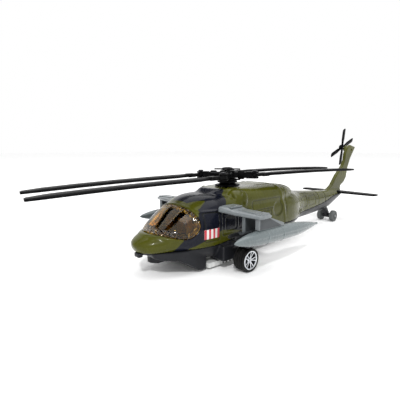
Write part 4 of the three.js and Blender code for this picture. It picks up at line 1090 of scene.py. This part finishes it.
def hub():
    """Barrel, four arms that end in forks, and dampers beside them; the bolts through the forks are made
    with the blades.
    """
    low, high = BLADE_LEVEL - 1.3, BLADE_LEVEL + 1.3
    barrel = lathe([[1.8, low - 0.9], [4.4, low - 0.9], [5, low - 0.5], [5, high + 1.1], [4.5, high + 1.6],
                    [1.8, high + 1.6]], 48, closed=True)
    parts, dampers = [barrel], []
    for angle in ARM_ANGLES.values():
        mouth = fork_arc(FORK["mouth"], 4.08, 2.2, 9)
        web = [[3.6, -FORK["half_width"]], *mouth, [3.6, FORK["half_width"]]]
        arm = [plate(web, low - 0.6, high + 0.6)]
        for z0 in (low - FORK["plate"], high):
            eye = fork_arc(FORK["radius"], -1.5708, 1.5708, 13)
            fork = [[12.6, -FORK["radius"]], *eye, [12.6, FORK["radius"]]]
            arm.append(plate(fork, z0, z0 + FORK["plate"]))
        arm.append(placed(lathe([[0, 0], [2.7, 0], [2.9, 0.5], [2.9, 3.6], [2.4, 4.2], [0, 4.2]], 32),
                          Matrix.Translation((7.2, 0, BLADE_LEVEL)) @ ALONG_X))
        parts += [placed(p, turned_z(angle)) for p in arm]
        damper = placed(lathe([[0, 0], [0.8, 0], [0.8, 3.4], [0.45, 3.6], [0.45, 6.4], [0, 6.5]], 24),
                        turned_z(angle) @ Matrix.Translation((4.2, 3.1, high + 0.1)) @ ALONG_X)
        dampers.append(damper)
    piece("hub_body", joined(parts), rotor_black, "main_rotor", "rotor_hub", place=ROTOR,
          bevel=0.2)
    piece("hub_dampers", joined(dampers), black_plastic_and_shade, "main_rotor", place=ROTOR)
    cap = [lathe([[0, 10.9], [4.3, 10.9], [4.4, 11.3], [3.6, 12], [2.2, 12.45], [0, 12.6]], 48)]
    for angle in ARM_ANGLES.values():
        outline = [[2, -1.1], [7.4, -0.8], [8.6, -0.8], [8.6, 0.8], [7.4, 0.8], [2, 1.1]]
        cap.append(placed(plate(outline, 10.95, 11.75), turned_z(angle)))
    piece("hub_cap_cross", joined(cap), rotor_black, "main_rotor", "hub_cap", place=ROTOR,
          bevel=0.2)


def blades():
    for number in (1, 2, 3, 4):
        pin = ROTOR.inverted() @ ROW.inverted() @ Vector(JOINTS[f"blade_{number}_fold"]["pos_m"])
        at = ROTOR @ Matrix.Translation((pin.x, pin.y, 0))
        bolt = lathe([[0, 5.1], [0.9, 5.1], [0.9, 9.9], [1.7, 9.95], [1.7, 10.4], [1.3, 10.7],
                      [0, 10.7]], 36)
        piece(f"fold_bolt_{number}", bolt, blackened_steel, "main_rotor", f"fold_pin_{number}",
              place=at)
        piece(f"rotor_blade_{number}", rotor_blade(), rotor_black, f"blade_{number}", f"main_blade_{number}",
              place=at @ turned_z(HEADINGS[number]), crease=50)


def blade_ring(ahead, behind, thickness):
    """A blade's section: a round leading edge, flat top and bottom, and a thinner rear edge."""
    half = thickness / 2
    rear = [[behind * 0.7, -half], [behind - 0.3, -0.55], [behind, -0.3], [behind, 0.3],
            [behind - 0.3, 0.55], [behind * 0.7, half]]
    nose = [[half - ahead - half * math.cos(t), half * math.sin(t)] for t in np.linspace(1.5708, -1.5708, 9)]
    return rear + nose


def rotor_blade():
    """An eye on its pin, a cuff, and a long drooping blade with a blunt swept tip."""
    length, thick = BLADE["length"], BLADE["thickness"]
    front, rear = 0.35 * BLADE["chord"], 0.65 * BLADE["chord"]
    stations = [[3, 2.2, 2.2, 2], [12, 2.5, 2.6, 2], [15.5, 2.8, 4.4, thick], [19, front, rear, thick],
                [40, front, rear, thick], [60, front, rear, thick], [80, front, rear, thick],
                [97, front, rear, 1.7], [100, front * 0.86, rear, 1.65],
                [104, front * 0.58, rear * 0.96, 1.5], [107.2, front * 0.36, rear * 0.87, 1.4],
                [length, front * 0.1, rear * 0.8, 1]]
    rings = []
    for x, ahead, behind, thickness in stations:
        z = BLADE_LEVEL - BLADE["droop"] * (x / length) ** 2.4
        rings.append([[x, y, z + dz] for y, dz in blade_ring(ahead, behind, thickness)])
    eye = lathe([[1.1, BLADE_LEVEL - 1], [2.4, BLADE_LEVEL - 1], [2.6, BLADE_LEVEL - 0.8],
                 [2.6, BLADE_LEVEL + 0.8], [2.4, BLADE_LEVEL + 1], [1.1, BLADE_LEVEL + 1]], 40, closed=True)
    neck = block((2, -1.9, BLADE_LEVEL - 0.95), (4.5, 1.9, BLADE_LEVEL + 0.95))
    cuff = block((5.5, -2.6, BLADE_LEVEL - 1.15), (10.5, 2.6, BLADE_LEVEL + 1.15))
    return joined([loft(rings), eye, neck, cuff])


# ------------------------------------------------------------------ tail rotor

TAIL_ROTOR = {"chord": 5, "phase": 24}


def tail_rotor():
    axis = Vector(JOINTS["tail_rotor_spin"]["axis"])
    at = ROW.inverted() @ Vector(JOINTS["tail_rotor_spin"]["pos_m"])
    cant = math.atan2(axis.z, -axis.x)
    local = Matrix.Translation(at) @ Matrix.Rotation(cant - math.pi / 2, 4, "Y")
    boss = [[1.3, -1.6], [2.4, -1.6], [2.8, -1.2], [2.8, 1.2], [2.4, 1.6], [1.3, 1.6]]
    parts = [lathe(boss, 40, closed=True)]
    half = TAIL_ROTOR["chord"] / 2
    stations = [[2, 1.2, 1.1], [5, 1.2, 1], [7.2, 1.9, 0.75], [9, half, 0.62], [15, half, 0.58],
                [19.6, half, 0.5], [20.5, half * 0.8, 0.4], [20.9, half * 0.45, 0.2]]
    for k in range(4):
        rings = []
        for x, width, thick in stations:
            rings.append([[x, y, dz * thick] for y, dz in foil(-width, width)])
        parts.append(placed(loft(rings), turned_z(90 - TAIL_ROTOR["phase"] + 90 * k)))
    piece("tail_rotor_blades", joined(parts), rotor_black, "tail_rotor", "tail_rotor",
          place=local, crease=45)
    nut = lathe([[0, 1.9], [2.1, 1.9], [2.2, 2.2], [2, 2.6], [1.2, 3], [0.9, 3.2], [0, 3.2]], 36)
    piece("tail_rotor_nut", nut, rotor_black, "tail_rotor", "tail_rotor_cap", place=local)


# ------------------------------------------------------------------ markings

BADGE = {"front": -22.4, "rear": -11.8, "bottom": 20.2, "top": 25.6, "bands": 7}


def side_of_skin(y, z):
    """How far out the fuselage's side is at [y, z], by halving the distance again and again."""
    near, far = np.full(np.shape(y), 2.0), np.full(np.shape(y), 30.0)
    for _ in range(24):
        x = (near + far) / 2
        outside = hull(x, y, z) > 0
        near, far = np.where(outside, near, x), np.where(outside, x, far)
    return near


def badge(name, place):
    """A plain badge of upright red and white bands, a thin film laid on the cabin's side."""
    columns, rows = BADGE["bands"] * 3, 12
    ys = np.linspace(BADGE["front"], BADGE["rear"], columns + 1)
    zs = np.linspace(BADGE["bottom"], BADGE["top"], rows + 1)
    grid_y, grid_z = np.meshgrid(ys, zs)
    skin = side_of_skin(grid_y, grid_z)
    layers = [np.column_stack([(skin + out).ravel(), grid_y.ravel(), grid_z.ravel()])
              for out in (-0.15, 0.07)]
    count = grid_y.size
    faces, colours = [], []
    for row, column in itertools.product(range(rows), range(columns)):
        a = row * (columns + 1) + column
        quad = (a, a + 1, a + columns + 2, a + columns + 1)
        faces += [tuple(v + count for v in quad), quad[::-1]]
        colours += [(column // 3) % 2] * 2
    border = ([(c, c + 1) for c in range(columns)]
              + [(r * (columns + 1) + columns, (r + 1) * (columns + 1) + columns) for r in range(rows)]
              + [(rows * (columns + 1) + c + 1, rows * (columns + 1) + c) for c in reversed(range(columns))]
              + [((r + 1) * (columns + 1), r * (columns + 1)) for r in reversed(range(rows))])
    faces += [(a, b, b + count, a + count) for a, b in border]
    colours += [1] * len(border)
    obj = piece(name, (np.vstack(layers), faces), decal_red, "airframe", place=place, more=(decal_white,),
                crease=80)
    for polygon, colour in zip(obj.data.polygons, colours):
        polygon.material_index = colour


cockpit()
motor()
screws()
main_wheels()
tail_gear()
wings()
stores()
stabilator()
mast_parts()
hub()
blades()
tail_rotor()
for name, place in SIDES:
    badge(name + "_badge", place)

# ------------------------------------------------------------------ light, floor and camera

CAMERA = {"at": (146.9, -140.8, 71.1), "turn": 42.25, "down": 9.31, "lens": 29.16}


def stage():
    floor_mesh = bpy.data.meshes.new("floor")
    size = 4
    floor_mesh.from_pydata([(-size, -size, 0), (size, -size, 0), (size, size, 0), (-size, size, 0)], [],
                           [(0, 1, 2, 3)])
    floor = bpy.data.objects.new("floor", floor_mesh)
    bpy.context.scene.collection.objects.link(floor)
    n = Nodes("pale_floor")
    n.set(n.shader.inputs["Base Color"], n.mix(n.noise(3), (0.96, 0.96, 0.96), (0.98, 0.98, 0.98)))
    n.set(n.shader.inputs["Roughness"], 0.9)
    floor_mesh.materials.append(n.material)
    world = bpy.data.worlds.new("studio")
    world.use_nodes = True
    world.node_tree.nodes["Background"].inputs["Color"].default_value = (1, 1, 1, 1)
    world.node_tree.nodes["Background"].inputs["Strength"].default_value = 1.0
    bpy.context.scene.world = world
    for name, at, size, power in (("overhead", (0.0, 0.1, 0.9), 0.9, 5), ("key", (0.5, -0.6, 0.7), 0.08, 5)):
        light = bpy.data.lights.new(name, "AREA")
        light.size = size
        light.energy = power
        lamp = bpy.data.objects.new(name, light)
        lamp.location = at
        lamp.rotation_euler = (-Vector(at)).to_track_quat("-Z", "Y").to_euler()
        bpy.context.scene.collection.objects.link(lamp)
    bpy.context.scene.view_settings.view_transform = "Standard"


def camera():
    data = bpy.data.cameras.new("camera")
    data.lens = CAMERA["lens"]
    data.sensor_width = 36
    data.clip_start = 0.01
    obj = bpy.data.objects.new("camera", data)
    obj.location = ROW @ Vector(CAMERA["at"])
    obj.rotation_euler = (math.radians(90 - CAMERA["down"]), 0, math.radians(90 - CAMERA["turn"]))
    bpy.context.scene.collection.objects.link(obj)
    bpy.context.scene.camera = obj


stage()
camera()
